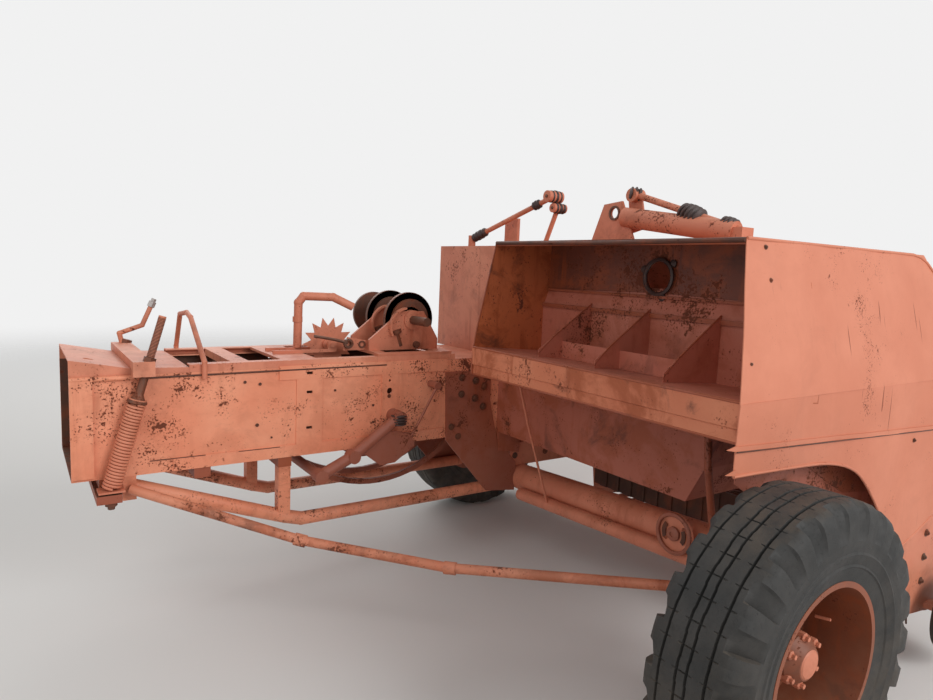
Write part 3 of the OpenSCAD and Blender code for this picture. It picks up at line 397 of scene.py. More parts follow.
def shade(mesh, angle):
    """Smooth faces, with the edges sharper than the angle kept."""
    made = bmesh.new()
    made.from_mesh(mesh)
    limit = math.radians(angle)
    for face in made.faces:
        face.smooth = True
    for edge in made.edges:
        edge.smooth = len(edge.link_faces) == 2 and edge.calc_face_angle(0.0) < limit
    made.to_mesh(mesh)
    made.free()


def closed(parts):
    """One mesh of several bmesh builders, with its faces turned outwards."""
    mesh = bpy.data.meshes.new("part")
    made = bmesh.new()
    for part in parts:
        part(made)
    bmesh.ops.recalc_face_normals(made, faces=made.faces)
    made.to_mesh(mesh)
    made.free()
    return mesh


def ring(made, points):
    """New vertices at the points, in their order."""
    return [made.verts.new(p) for p in points]


def bridge(made, first, second, close=True):
    """Faces between two loops of the same length."""
    count = len(first)
    for i in range(count if close else count - 1):
        j = (i + 1) % count
        made.faces.new((first[i], first[j], second[j], second[i]))


def circle(centre, side, up, radius, count):
    """Points round a centre, in the plane of two directions."""
    return [centre + (side * math.cos(a) + up * math.sin(a)) * radius
            for a in (2 * math.pi * k / count for k in range(count))]


def loft(made, loops):
    """Tube through the loops, shut at both ends."""
    for first, second in zip(loops, loops[1:]):
        bridge(made, first, second)
    made.faces.new(loops[0])
    made.faces.new(list(reversed(loops[-1])))


def basis(direction):
    """The given direction, and two across it."""
    along = Vector(direction).normalized()
    side = along.cross((0, 0, 1))
    side = side.normalized() if side.length > 1e-3 else Vector((1, 0, 0))
    return along, side, side.cross(along)


def lathe(origin, direction, profile, count=32, shape=None):
    """Solid of revolution: profile of (radius, height) in mm, which ends on the axis or closes on itself.

    shape gives a factor on the radius for an angle and a point of the profile, such as for teeth."""
    def build(made):
        along, side, up = basis(direction)
        loops = []
        for index, (radius, height) in enumerate(profile):
            if radius < 1e-6:
                loops.append([made.verts.new(origin + along * height / 1000)])
                continue
            points = []
            for k in range(count):
                angle = 2 * math.pi * k / count
                r = radius / 1000 * (shape(angle, index) if shape else 1.0)
                ray = side * math.cos(angle) + up * math.sin(angle)
                points.append(origin + along * height / 1000 + ray * r)
            loops.append(ring(made, points))
        pairs = list(zip(loops, loops[1:]))
        if profile[0][0] > 1e-6 and profile[-1][0] > 1e-6:
            pairs.append((loops[-1], loops[0]))
        for first, second in pairs:
            if len(first) == 1 and len(second) == 1:
                continue
            if len(first) == 1 or len(second) == 1:
                tip, loop = (first[0], second) if len(first) == 1 else (second[0], first)
                for k in range(count):
                    made.faces.new((tip, loop[k], loop[(k + 1) % count]))
            else:
                bridge(made, first, second)
    return build


def disc(origin, direction, outer, low, high, count, inner=0, shape=None):
    """Flat disc, drum or ring: radii, and heights along the direction, in mm."""
    return lathe(origin, direction,
                 [(inner, low), (outer, low), (outer, high), (inner, high)], count, shape)


def bolt_head(origin, direction, wide, tall):
    """Hexagon head with a slightly raised middle."""
    return lathe(origin, direction, [(0, 0), (wide, 0), (wide, tall), (0, tall + 1)], 6)


def nut(origin, direction, wide, tall, stud, reach):
    """Hexagon nut with its stud, which reaches past it."""
    return lathe(origin, direction,
                 [(0, 0), (wide, 0), (wide, tall), (stud, tall + 2), (stud, reach), (0, reach + 1)], 6)


def rod(start, end, diameter, count=16):
    """Round bar between two points with a small chamfer."""
    length = (end - start).length * 1000
    r = diameter / 2
    return lathe(start, end - start, [(0, 0), (r - CHAMFER, 0), (r, CHAMFER), (r, length - CHAMFER),
                                      (r - CHAMFER, length), (0, length)], count)


def pipe(points, diameter, sides=14, smooth=3):
    """Tube that follows the points, with rounded bends."""
    def build(made):
        route = [points[0]]
        for before, corner, after in zip(points, points[1:], points[2:]):
            if not smooth:
                route.append(corner)
                continue
            a, b = (corner.lerp(leg, BEND_SHARE * min(1.0, BEND_LEG / max(1e-6, (leg - corner).length)))
                    for leg in (before, after))
            for k in range(smooth + 1):
                t = k / smooth
                route.append(a.lerp(corner, t).lerp(corner.lerp(b, t), t))
        route.append(points[-1])
        along, side, up = basis(route[1] - route[0])
        loops = []
        for i, place in enumerate(route):
            ahead = (route[min(i + 1, len(route) - 1)] - route[max(i - 1, 0)]).normalized()
            side = (side - ahead * side.dot(ahead)).normalized()
            up = side.cross(ahead)
            loops.append(ring(made, circle(place, side, up, diameter / 2000, sides)))
        loft(made, loops)
    return build


def plate(outline, start, end):
    """Flat plate: outline of points on one face, thickness towards end minus start."""
    def build(made):
        shift = end - start
        low = ring(made, outline)
        high = ring(made, [p + shift for p in outline])
        made.faces.new(list(reversed(low)))
        made.faces.new(high)
        bridge(made, low, high)
    return build


def side_plate(y, outline, thick):
    """Upright plate along the machine at y: outline of (x, z) and thickness in the datum's millimetres."""
    return plate([at(x, y, z) for x, z in outline], Vector(), Vector((0, thick / 1000, 0)))


def block(low, high):
    """Box between two corners of the datum's millimetres."""
    a, b = at(*low), at(*high)
    corners = [Vector((a.x, a.y, a.z)), Vector((b.x, a.y, a.z)),
               Vector((b.x, b.y, a.z)), Vector((a.x, b.y, a.z))]
    return plate(corners, Vector((0, 0, a.z)), Vector((0, 0, b.z)))


# ---------------------------------------------------------------- nodes that keep their shape

NODE_FINISH = {
    "chamber_right_side": "pitted_paint", "chamber_left_side": "faded_paint",
    # The twine box's inside is dark rust with painted shade
    "chamber_floor": "rusty_sheet", "twine_box": "box_sheet", "twine_partitions": "box_paint",
    "side_panel": "panel_paint", "feeder_housing": "slope_paint", "wheel_guard": "rusty_sheet",
    # The rims take dark rust with painted shade
    "diagonal_brace": "grimy_brace", "rim_right": "rim_paint", "rim_left": "rim_paint",
    # Gusset plates, yoke and axle arms take the darker paint: grime and painted shade
    "gusset_plates": "grimy_paint", "lower_braces": "brace_paint", "needle_yoke": "grimy_paint",
    "axle_arms": "grimy_paint",
}
# Faces with a finish of their own: the bare inside of the bale chamber, darkened with painted shade, and
# the box's lip, lit with a painted highlight, floor and ledge, picked by the face's middle and its normal
FACE_FINISH = {
    "chamber_left_side": (("chamber_inside", lambda middle, normal: normal.y < -0.9),),
    "chamber_right_side": (("chamber_inside", lambda middle, normal: normal.y > 0.9),),
    "chamber_floor": (("chamber_inside", lambda middle, normal: normal.z > 0.9),),
    # The lip is lighter with a painted highlight
    "twine_box": (("lip_paint", lambda middle, normal: middle.x < DATUM_X - 0.18 and abs(normal.y) < 0.5),
                  ("box_paint", lambda middle, normal: middle.z < 1.37 and abs(normal.y) < 0.5),
                  ("rusty_wall", lambda middle, normal: abs(normal.y) > 0.5)),
}


class BALER_OT_finishes(bpy.types.Operator):
    """Give every frame node its worn finish"""
    bl_idname = "baler.finishes"
    bl_label = "Node finishes"

    def execute(self, context):
        slots = {s["node"]: s["material_slot"] for s in frame["record"]["subparts"]}
        for node, thing in frame["nodes"].items():
            thing.data.materials.clear()
            thing.data.materials.append(finish(NODE_FINISH.get(node, slots[node])))
            for kind, _picked in FACE_FINISH.get(node, ()):
                thing.data.materials.append(finish(kind))
            for face in thing.data.polygons if node in FACE_FINISH else ():
                fits = [picked(face.center, face.normal) for _kind, picked in FACE_FINISH[node]]
                face.material_index = fits.index(True) + 1 if True in fits else 0
        return {"FINISHED"}


# ---------------------------------------------------------------- wheels


# Where round a block, as a share of it, the tread has a row of points, and which of them lie in a slit
BLOCK_MARKS = (0.0, 0.03, 0.07, 0.22, 0.235, 0.245, 0.26, 0.44,
               0.48, 0.52, 0.56, 0.72, 0.735, 0.745, 0.76, 0.94)
SLIT_MARKS = (0.235, 0.245, 0.735, 0.745)
# Nuts' circle, in metres from the hub's middle
NUT_CIRCLE = 0.066


def tyre(made, centre, outward, wheels):
    """Tyre with notched shoulder blocks, four narrow grooves that zigzag and short slits beside them."""
    groove = wheels.groove * 1000
    # radius, height across the tyre, how far a shoulder gap eats in, how far a cut eats in
    right = [(233, 97, 0, 0), (240, 109, 0, 0), (254, 112, 0, 0), (280, 118, 0, 0), (284, 121.5, 0, 0),
             (290, 118.5, 0, 0), (312, 124.5, 0, 0), (318, 127.4, 0, 0), (324, 125, 0, 0),
             (345, 126.5, 0, 0), (354, 128, 0, 0), (362, 127, 4, 0), (374, 127, 13, 0),
             (402, 124.5, 19, 0), (425, 119, 22, 0), (438, 110, 21, 0), (446, 97, 12, 1),
             (448, 82, 0, 0), (448.5, 67, 0, 6), (448.5 - groove, 65, 0, 0), (448.5 - groove, 61, 0, 0),
             (449.5, 59, 0, 6), (449.8, 48, 0, 0), (450, 29, 0, 0), (450, 18, 0, 6),
             (450 - groove, 16, 0, 0), (450 - groove, 12, 0, 0), (450, 10, 0, 6)]
    profile = right + [(r, -h, e, c) for r, h, e, c in reversed(right)]
    along, side, up = basis(outward)
    loops = []
    for block_index in range(wheels.blocks):
        for mark in BLOCK_MARKS:
            angle = 2 * math.pi * (block_index + mark) / wheels.blocks
            ray = side * math.cos(angle) + up * math.sin(angle)
            # A notch is deepest halfway round its block and runs out towards the next one
            gap = 0.0 if mark < 0.5 else 1.0 - 0.8 * (mark - 0.5) / 0.5
            cut = 1.0 if mark in SLIT_MARKS else 0.0
            zig = 0.9 * (1 if mark < 0.5 else -1)
            points = []
            for radius, height, eat, slit in profile:
                r = radius - eat * gap * 0.55 - slit * cut * 0.8
                h = height - math.copysign(eat * gap, height)
                # The grooves zigzag, the outer two less than the inner two
                if radius > 436 and abs(height) < 70:
                    h += zig * (0.4 + 0.6 * (abs(height) < 30))
                points.append(centre + along * h / 1000 + ray * r / 1000)
            loops.append(ring(made, points))
    for index, loop in enumerate(loops):
        bridge(made, loop, loops[(index + 1) % len(loops)])


class BALER_OT_wheels(bpy.types.Operator):
    """Build the treaded tyres, hub caps and wheel nuts"""
    bl_idname = "baler.wheels"
    bl_label = "Wheels"

    def execute(self, context):
        wheels = context.scene.baler_wheels
        for side, sign in (("right", -1), ("left", 1)):
            centre = Vector(joints[f"wheel_{side}_spin"]["pos_m"])
            mesh = closed([lambda made: tyre(made, centre, (0, sign, 0), wheels)])
            piece(f"tyre_tread_{side}", mesh, f"wheel_{side}", "rubber", (f"tyre_{side}",),
                  smooth=24)
            out = Vector((0, sign, 0))
            cap = [(0, 70.5), (20, 71), (36, 68), (44, 61), (46, 40), (52, 37), (52, 34), (0, 34)]
            hub = [lathe(centre, out, cap, 40)]
            for k in range(wheels.nuts):
                angle = 2 * math.pi * (k + 0.5) / wheels.nuts
                spot = centre + Vector((math.cos(angle), 0, math.sin(angle))) * NUT_CIRCLE
                hub.append(lathe(spot, out,
                                 [(0, 30), (13, 30), (13, 46), (10, 49), (7, 49), (7, 58), (0, 59)], 6))
            # Valve
            hub.append(rod(centre + Vector((0.15, sign * -0.01, 0.06)),
                           centre + Vector((0.16, sign * 0.03, 0.064)), 9))
            piece(f"hub_cap_{side}", closed(hub), f"wheel_{side}", "paint", smooth=30)
        return {"FINISHED"}


# ---------------------------------------------------------------- tension springs


def helix(start, end, radius, wire, turns, sides=10, steps=28):
    """Round wire wound from start to end."""
    def build(made):
        along, side, up = basis(end - start)
        length = (end - start).length
        count = int(turns * steps)
        loops = []
        for i in range(count + 1):
            a = 2 * math.pi * i / steps
            out = side * math.cos(a) + up * math.sin(a)
            place = start + along * (wire / 2 + (length - wire) * i / count) + out * radius
            loops.append(ring(made, circle(place, out, along, wire / 2, sides)))
        loft(made, loops)
    return build


# Where the right spring stands and ends, and the tip of its screw
SPRING_FOOT = (-1512, -38, 613.5)
SPRING_TOP = (-1424.4, -38, 918)
SCREW_TIP = (-1336, -38, 1225)
# Radius of a coil's middle line in metres, and the thread's pitch and radii in mm
COIL_R = 0.027
PITCH, THREAD_LOW, THREAD_HIGH = 5, 12.6, 14.2


def mirrored(point):
    """The same point on the chamber's other side."""
    return (point[0], CHAMBER_W - point[1], point[2])


class BALER_OT_springs(bpy.types.Operator):
    """Wind the two tension springs and cut the right screw's thread"""
    bl_idname = "baler.springs"
    bl_label = "Tension springs"

    def execute(self, context):
        details = context.scene.baler_details
        wound, ridges = [], []
        for turn in (lambda p: p, mirrored):
            foot, top = at(*turn(SPRING_FOOT)), at(*turn(SPRING_TOP))
            wound += [helix(foot, top, COIL_R, details.wire, details.coils),
                      rod(foot.lerp(top, 0.02), foot.lerp(top, 0.98), 40, 20)]
        low, high = at(*SPRING_TOP).lerp(at(*SCREW_TIP), 0.5), at(*SPRING_TOP).lerp(at(*SCREW_TIP), 0.99)
        length = (high - low).length * 1000
        for k in range(int(length / PITCH)):
            ridges += [(THREAD_LOW, PITCH * k), (THREAD_HIGH, PITCH * k + PITCH / 2)]
        thread = lathe(low, high - low, [(0, 0)] + ridges + [(0, length)], 20)
        piece("tension_coils", closed(wound), "frame", "faded_paint", ("density_springs",),
              smooth=40)
        piece("screw_threads", closed([thread]), "frame", "dark_iron", smooth=60)
        return {"FINISHED"}


# ---------------------------------------------------------------- bolts

# Rows of bolt heads: body, first, last, how many, facing, width of the head in mm
BOLT_ROWS = (
    ("frame", (-401, -4, 755), (-401, -4, 700), 2, (0, -1, 0), 15),
    ("frame", (-20, -8, 925), (-20, -8, 845), 2, (0, -1, 0), 22),
    ("frame", (60, -8, 905), (60, -8, 820), 2, (0, -1, 0), 24),
    ("frame", (110, -8, 875), (110, -8, 775), 2, (0, -1, 0), 24),
    ("frame", (-70, -8, 690), (-30, -8, 640), 2, (0, -1, 0), 20),
    ("frame", (-60, 518, 900), (60, 518, 700), 4, (0, 1, 0), 22),
    ("frame", (-1250, 510, 700), (-150, 510, 700), 8, (0, 1, 0), 16),
    ("frame", (-1250, 510, 960), (-150, 510, 960), 8, (0, 1, 0), 16),
    ("frame", (250, 583, 1080), (950, 583, 1080), 6, (0, 1, 0), 14),
    ("frame", (250, 583, 1500), (950, 583, 1500), 6, (0, 1, 0), 14),
    ("frame", (-17, -1507, 1533), (-11, -1528, 1441), 2, (0, -0.97, 0.22), 9),
    ("frame", (-148, -1579, 1216), (-148, -1579, 1216), 1, (0, -0.97, 0.22), 9),
    ("frame", (827, -1603, 907), (827, -1603, 907), 1, (0, -1, 0), 10),
    ("frame", (1240, 60, 520), (1240, 60, 960), 4, (0, -1, 0), 16),
    ("frame", (1240, 510, 520), (1240, 510, 960), 4, (0, 1, 0), 16),
    ("frame", (2060, -10, 430), (2120, -10, 470), 2, (0, -1, 0), 24),
    ("frame", (2060, 520, 430), (2120, 520, 470), 2, (0, 1, 0), 24),
    ("frame", (330, 0, 500), (1950, 0, 500), 9, (0, -1, 0), 20),
    ("frame", (330, 510, 500), (1950, 510, 500), 9, (0, 1, 0), 20),
    ("frame", (260, -300, 1556), (930, -300, 1556), 5, (0, 0, 1), 14),
    ("frame", (260, -1440, 1556), (930, -1440, 1556), 5, (0, 0, 1), 14),
    ("pickup", (1060, -1590, 330), (1060, -1590, 520), 3, (0, -1, 0), 18),
    ("pickup", (1290, -1590, 330), (1290, -1590, 470), 2, (0, -1, 0), 18),
    ("pickup", (1060, -30, 330), (1060, -30, 520), 3, (0, 1, 0), 18),
    ("drawbar", (2450, 205, 450), (2900, 205, 450), 3, (0, -1, 0), 22),
    ("drawbar", (3700, 205, 450), (3820, 205, 450), 2, (0, -1, 0), 24),
)


def geometry_tree(name, inputs):
    """Empty Geometry Nodes tree with the named inputs and one geometry out."""
    tree = bpy.data.node_groups.new(name, "GeometryNodeTree")
    for label, kind in inputs:
        tree.interface.new_socket(label, in_out="INPUT", socket_type=f"NodeSocket{kind}")
    tree.interface.new_socket("Geometry", in_out="OUTPUT", socket_type="NodeSocketGeometry")
    n = Nodes(tree)
    return n, n.add("NodeGroupInput").outputs, n.add("NodeGroupOutput").inputs[0]


def on_points(n, given, out, shape, rotation, **more):
    """The end of a tree: a shape on every point, made real and given its finish."""
    placed = n.add("GeometryNodeInstanceOnPoints", {"Points": given["Geometry"], "Instance": shape,
                                                    "Rotation": rotation, **more})
    real = n.add("GeometryNodeRealizeInstances", {"Geometry": placed.outputs[0]})
    dressed = n.add("GeometryNodeSetMaterial", {"Geometry": real.outputs[0], "Material": given["Finish"]})
    n.link(dressed.outputs[0], out)
    return n.tree


def bolt_tree():
    """Hexagon heads on washers at every point, turned along the point's facing and as wide as it says."""
    n, given, out = geometry_tree("Bolt heads", (("Geometry", "Geometry"), ("Finish", "Material")))
    # Head, stud and washer of a bolt one unit wide, and how high each one's middle is
    joined = n.add("GeometryNodeJoinGeometry")
    for kind, sizes, height in (
            ("Cone", {"Vertices": 6, "Radius Top": 0.5, "Radius Bottom": 0.577, "Depth": 0.34}, 0.14),
            ("Cylinder", {"Vertices": 10, "Radius": 0.27, "Depth": 0.3}, 0.52),
            ("Cylinder", {"Vertices": 14, "Radius": 0.82, "Depth": 0.1}, 0.07)):
        part = n.add(f"GeometryNodeMesh{kind}", sizes).outputs["Mesh"]
        moved = n.add("GeometryNodeTransform", {"Geometry": part, "Translation": (0, 0, height)})
        n.link(moved.outputs[0], joined.inputs[0])
    facing = n.attribute("facing", "FLOAT_VECTOR")
    width = n.attribute("width", "FLOAT")
    turn = n.add("FunctionNodeAlignRotationToVector", {"Vector": facing}, axis="Z").outputs[0]
    roll = n.add("FunctionNodeRandomValue", {"Min": 0.0, "Max": 1.05, "Seed": 7}, data_type="FLOAT")
    spin = n.add("ShaderNodeCombineXYZ", {"Z": roll.outputs[1]}).outputs[0]
    turned = n.add("FunctionNodeRotateRotation", {"Rotation": turn, "Rotate By": spin},
                   rotation_space="LOCAL")
    return on_points(n, given, out, joined.outputs[0], turned.outputs[0], Scale=width)


def grown(name, points, tree, inputs, attributes):
    """Plain mesh of a Geometry Nodes tree run over points with named attributes."""
    seed = bpy.data.meshes.new(name)
    seed.from_pydata([tuple(p) for p in points], [], [])
    for label, (kind, values) in attributes.items():
        store = seed.attributes.new(label, kind, "POINT")
        for item, value in zip(store.data, values):
            if kind == "FLOAT_VECTOR":
                item.vector = value
            else:
                item.value = value
    carrier = new_object(name, seed)
    modifier = carrier.modifiers.new("grow", "NODES")
    modifier.node_group = tree
    for socket in tree.interface.items_tree:
        if getattr(socket, "in_out", "") == "INPUT" and socket.name in inputs:
            modifier[socket.identifier] = inputs[socket.name]
    graph = bpy.context.evaluated_depsgraph_get()
    mesh = bpy.data.meshes.new_from_object(carrier.evaluated_get(graph))
    bpy.data.objects.remove(carrier)
    return mesh


class BALER_OT_bolts(bpy.types.Operator):
    """Set every row of bolts and screws"""
    bl_idname = "baler.bolts"
    bl_label = "Bolts"

    def execute(self, context):
        tree = bolt_tree()
        rows = {}
        for body, first, last, count, facing, width in BOLT_ROWS:
            for k in range(count):
                spot = Vector(first).lerp(Vector(last), k / max(1, count - 1))
                rows.setdefault(body, []).append((at(*spot), facing, width / 1000))
        for body, spots in rows.items():
            places, facings, widths = zip(*spots)
            mesh = grown(f"bolts_{body}", places, tree, {"Finish": finish("bare_steel")},
                         {"facing": ("FLOAT_VECTOR", facings), "width": ("FLOAT", widths)})
            piece(f"bolts_{body}", mesh, body, "bare_steel")
        return {"FINISHED"}


# ---------------------------------------------------------------- packer linkages


def boot(start, end, thick, folds, count=24):
    """Ribbed rubber boot from start to end, thickest in its middle."""
    length = (end - start).length * 1000
    profile = [(0, 0), (thick * 0.34, 0)]
    for k in range(folds):
        centre = length * (k + 0.5) / folds
        swell = thick / 2 * (0.86 + 0.14 * math.sin(math.pi * (k + 0.5) / folds))
        half = length / folds / 2
        profile += [(swell * 0.8, centre - half * 0.8), (swell, centre - half * 0.3),
                    (swell, centre + half * 0.3), (swell * 0.8, centre + half * 0.8)]
    return lathe(start, end - start, profile + [(thick * 0.34, length), (0, length)], count)


# Rubber round the linkages' joints: first end, last end, thickness, folds
BOOTS = (
    ((354, 490, 1606), (370, 394, 1644), 52, 4),
    ((428, 72, 1764), (436, 30, 1780), 48, 3),
    ((424, -46, 1808), (496, -46, 1808), 64, 3),
    ((440, -68, 1752), (506, -70, 1750), 54, 3),
    ((436, -560, 1790), (472, -596, 1782), 62, 3),
    ((450, -836, 1696), (450, -928, 1664), 92, 5),
    ((452, -1022, 1646), (454, -1082, 1628), 70, 4),
    ((-385, -66, 790), (-385, -66, 742), 76, 4),
)


class BALER_OT_linkages(bpy.types.Operator):
    """Wrap the linkages' joints and set the ring in the twine box's back wall"""
    bl_idname = "baler.linkages"
    bl_label = "Linkage joints"

    def execute(self, context):
        piece("joint_boots", closed([boot(at(*a), at(*b), thick, folds) for a, b, thick, folds in BOOTS]),
              "frame", "boot_rubber", smooth=50)
        centre = at(197, -959, 1437)
        ring_parts = [lathe(centre, (-1, 0, 0),
                            [(58, 2), (64, 0), (70, 6), (70, 12), (62, 15), (56, 10)], 40)]
        # Three lugs that hold the ring
        for degrees in (20, 140, 255):
            a = math.radians(degrees)
            spot = centre + Vector((0, math.cos(a), math.sin(a))) * 0.078
            ring_parts.append(lathe(spot, (-1, 0, 0), [(0, -1), (14, -1), (14, 5), (9, 8), (0, 9)], 12))
        piece("wall_ring", closed(ring_parts), "frame", "boot_rubber", smooth=40)
        studs = [rod(at(404, -46, 1808), at(500, -46, 1808), 16),
                 rod(at(424, -68, 1752), at(510, -68, 1752), 14),
                 rod(at(452, -1090, 1620), at(494, -1092, 1619), 16),
                 disc(at(410, -507, 1705), (-1, 0, 0), 31, -2, 6, 28, inner=23)]
        piece("linkage_studs", closed(studs), "frame", "bare_steel", smooth=40)
        return {"FINISHED"}


# ---------------------------------------------------------------- knotters

# The knotters' shaft, and the two places across the chamber where the needles come up
KNOT_X, KNOT_Z = -230, 1190
NEEDLE_Y = (CHAMBER_W / 2 - 95, CHAMBER_W / 2 + 95)


def toothed(count, root, tip, first=0.0, last=360.0):
    """Radius of a disc at an angle, with teeth between two angles in degrees."""
    def radius(angle, _index):
        degrees = math.degrees(angle) % 360
        if not first <= degrees <= last:
            return 1.0
        return tip / root if (degrees * count / 360) % 1.0 < 0.5 else 1.0
    return radius


def curved_strip(centre, axis, radius, start, end, width, thick, steps=14):
    """Flat bar bent round an axis: width runs along the axis."""
    def build(made):
        along, side, up = basis(axis)
        loops = []
        for k in range(steps + 1):
            a = math.radians(start + (end - start) * k / steps)
            out = side * math.cos(a) + up * math.sin(a)
            taper = 1.0 - 0.45 * k / steps
            loops.append(ring(made, [
                centre + along * w * width * taper / 2000 + out * (radius + t * thick / 2) / 1000
                for w, t in ((-1, -1), (1, -1), (1, 1), (-1, 1))]))
        for first, second in zip(loops, loops[1:]):
            bridge(made, first, second)
        made.faces.new(list(reversed(loops[0])))
        made.faces.new(loops[-1])
    return build


class BALER_OT_knotters(bpy.types.Operator):
    """Build both knotters and the trip plate beside the star wheel"""
    bl_idname = "baler.knotters"
    bl_label = "Knotters"

    def execute(self, context):
        steel, paint = [], []
        for y in NEEDLE_Y:
            shaft = at(KNOT_X, y, KNOT_Z)
            # Cam disc with its toothed rim sectors
            steel.append(lathe(shaft, (0, 1, 0), [(22, -12), (60, -12), (60, -26), (96, -26), (96, -12),
                                                  (127, -12), (127, 6), (22, 6)], 144,
                               toothed(36, 96, 103, 200, 330)))
            paint.append(lathe(shaft, (0, 1, 0), [(22, 6), (48, 6), (48, 34), (40, 40), (22, 40)], 28))
            # Bill hook with its pinion
            foot = at(KNOT_X - 70, y - 34, KNOT_Z - 84)
            steel.append(lathe(foot, (-0.35, 0, 1),
                               [(0, -40), (14, -40), (14, 20), (26, 22), (26, 40), (0, 42)], 28))
            bill = ((6, 0, -38), (0, 0, -56), (-24, 2, -66), (-52, 4, -58), (-66, 4, -40))
            steel.append(pipe([foot + Vector(p) / 1000 for p in bill], 11))
            # Twine holder: three discs notched round their rims
            holder = at(KNOT_X - 96, y + 30, KNOT_Z - 112)
            for k in range(3):
                steel.append(disc(holder + Vector((0.012, 0, 0.012)) * k, (0.6, 0, 0.8), 46, -2, 2, 48,
                                  shape=toothed(8, 46, 38)))
            steel.append(rod(holder - Vector((0.012, 0, 0.016)), holder + Vector((0.05, 0, 0.066)), 20))
            # Knife arm with its roller, curved down from the frame
            paint.append(curved_strip(shaft - Vector((0.035, 0.055, 0.03)), (0, 1, 0), 84, 95, 210, 26, 9))
            steel.append(disc(shaft + Vector((0.02, -0.052, -0.115)), (0, 1, 0), 15, -12, 12, 20))
            # Casting ribs of the frame
            for x, tall in ((-400, 70), (-330, 120), (-150, 110)):
                paint.append(block((x, y - 31, 1052), (x + 9, y - 8, 1052 + tall)))
            paint.append(block((KNOT_X - 60, y - 31, KNOT_Z + 20), (KNOT_X + 60, y - 4, KNOT_Z + 32)))
            # Spring and rod that press the twine holder
            paint.append(helix(at(KNOT_X - 40, y + 46, KNOT_Z + 44), at(KNOT_X + 64, y + 46, KNOT_Z - 30),
                               0.013, 0.004, 16, 8, 18))
            steel.append(rod(at(KNOT_X - 56, y + 46, KNOT_Z + 55),
                             at(KNOT_X + 84, y + 46, KNOT_Z - 44), 10))
        # Trip plate beside the star wheel, with its ringed trip rod
        paint.append(side_plate(150, ((-560, 1052), (-540, 1112), (-360, 1078), (-300, 1052)), 6))
        steel.append(pipe([at(-700, 140, 1120), at(-600, 140, 1104), at(-545, 140, 1086)], 13))
        steel += [disc(at(-540, 140, 1084), (0, 1, 0), 22, -7, 7, 24, inner=12),
                  disc(at(-470, 150, 1078), (0, -1, 0), 17, -1, 5, 20, inner=10),
                  disc(at(-400, 150, 1068), (0, -1, 0), 14, -1, 5, 20, inner=8)]
        # Collar on the metering wheel's tube
        paint.append(disc(at(-715, 307, 1180), (0, 0, 1), 22, -12, 12, 20, inner=15))
        piece("knotter_steel", closed(steel), "frame", "bare_steel", smooth=32)
        piece("knotter_castings", closed(paint), "frame", "paint", smooth=32)
        return {"FINISHED"}


# ---------------------------------------------------------------- pickup tines and drive shaft


def tine_tree():
    """Sprung wire tines: a coil on the bar and a bent prong, at every point."""
    n, given, out = geometry_tree("Pickup tines", (("Geometry", "Geometry"), ("Tine", "Object"),
                                                   ("Finish", "Material")))
    shape = n.add("GeometryNodeObjectInfo", {"Object": given["Tine"]}).outputs["Geometry"]
    facing = n.attribute("facing", "FLOAT_VECTOR")
    turn = n.add("FunctionNodeAlignRotationToVector", {"Vector": (0, 1, 0)}, axis="Y").outputs[0]
    aimed = n.add("FunctionNodeAlignRotationToVector", {"Rotation": turn, "Vector": facing}, axis="Z",
                  pivot_axis="Y").outputs[0]
    return on_points(n, given, out, shape, aimed)


def tine_mesh(reach):
    """One tine: three turns of wire round its bar, then a prong that leans back near its tip."""
    points = []
    for k in range(31):
        a = 2 * math.pi * k / 10
        points.append(Vector((math.sin(a) * 0.018, -0.012 + 0.024 * k / 30, math.cos(a) * 0.018)))
    points += [Vector((-0.004, 0.013, reach * 0.4)), Vector((-0.006, 0.008, reach * 0.75)),
               Vector((-0.022, 0.004, reach * 0.985))]
    return closed([pipe(points[30:], 7, 8, 3), pipe(points[:31], 7, 8, 0)])


# The reel's axle (x, z), how far out its bars and tine tips run, its two ends, how far in from them
# the outer tines stand, and how many stripper bands they straddle
REEL = (1180, 400)
BAR_R, TINE_R = 130, 290
PICK_RIGHT, PICK_LEFT, REEL_ENDS, BANDS = -1590, -30, 40, 17


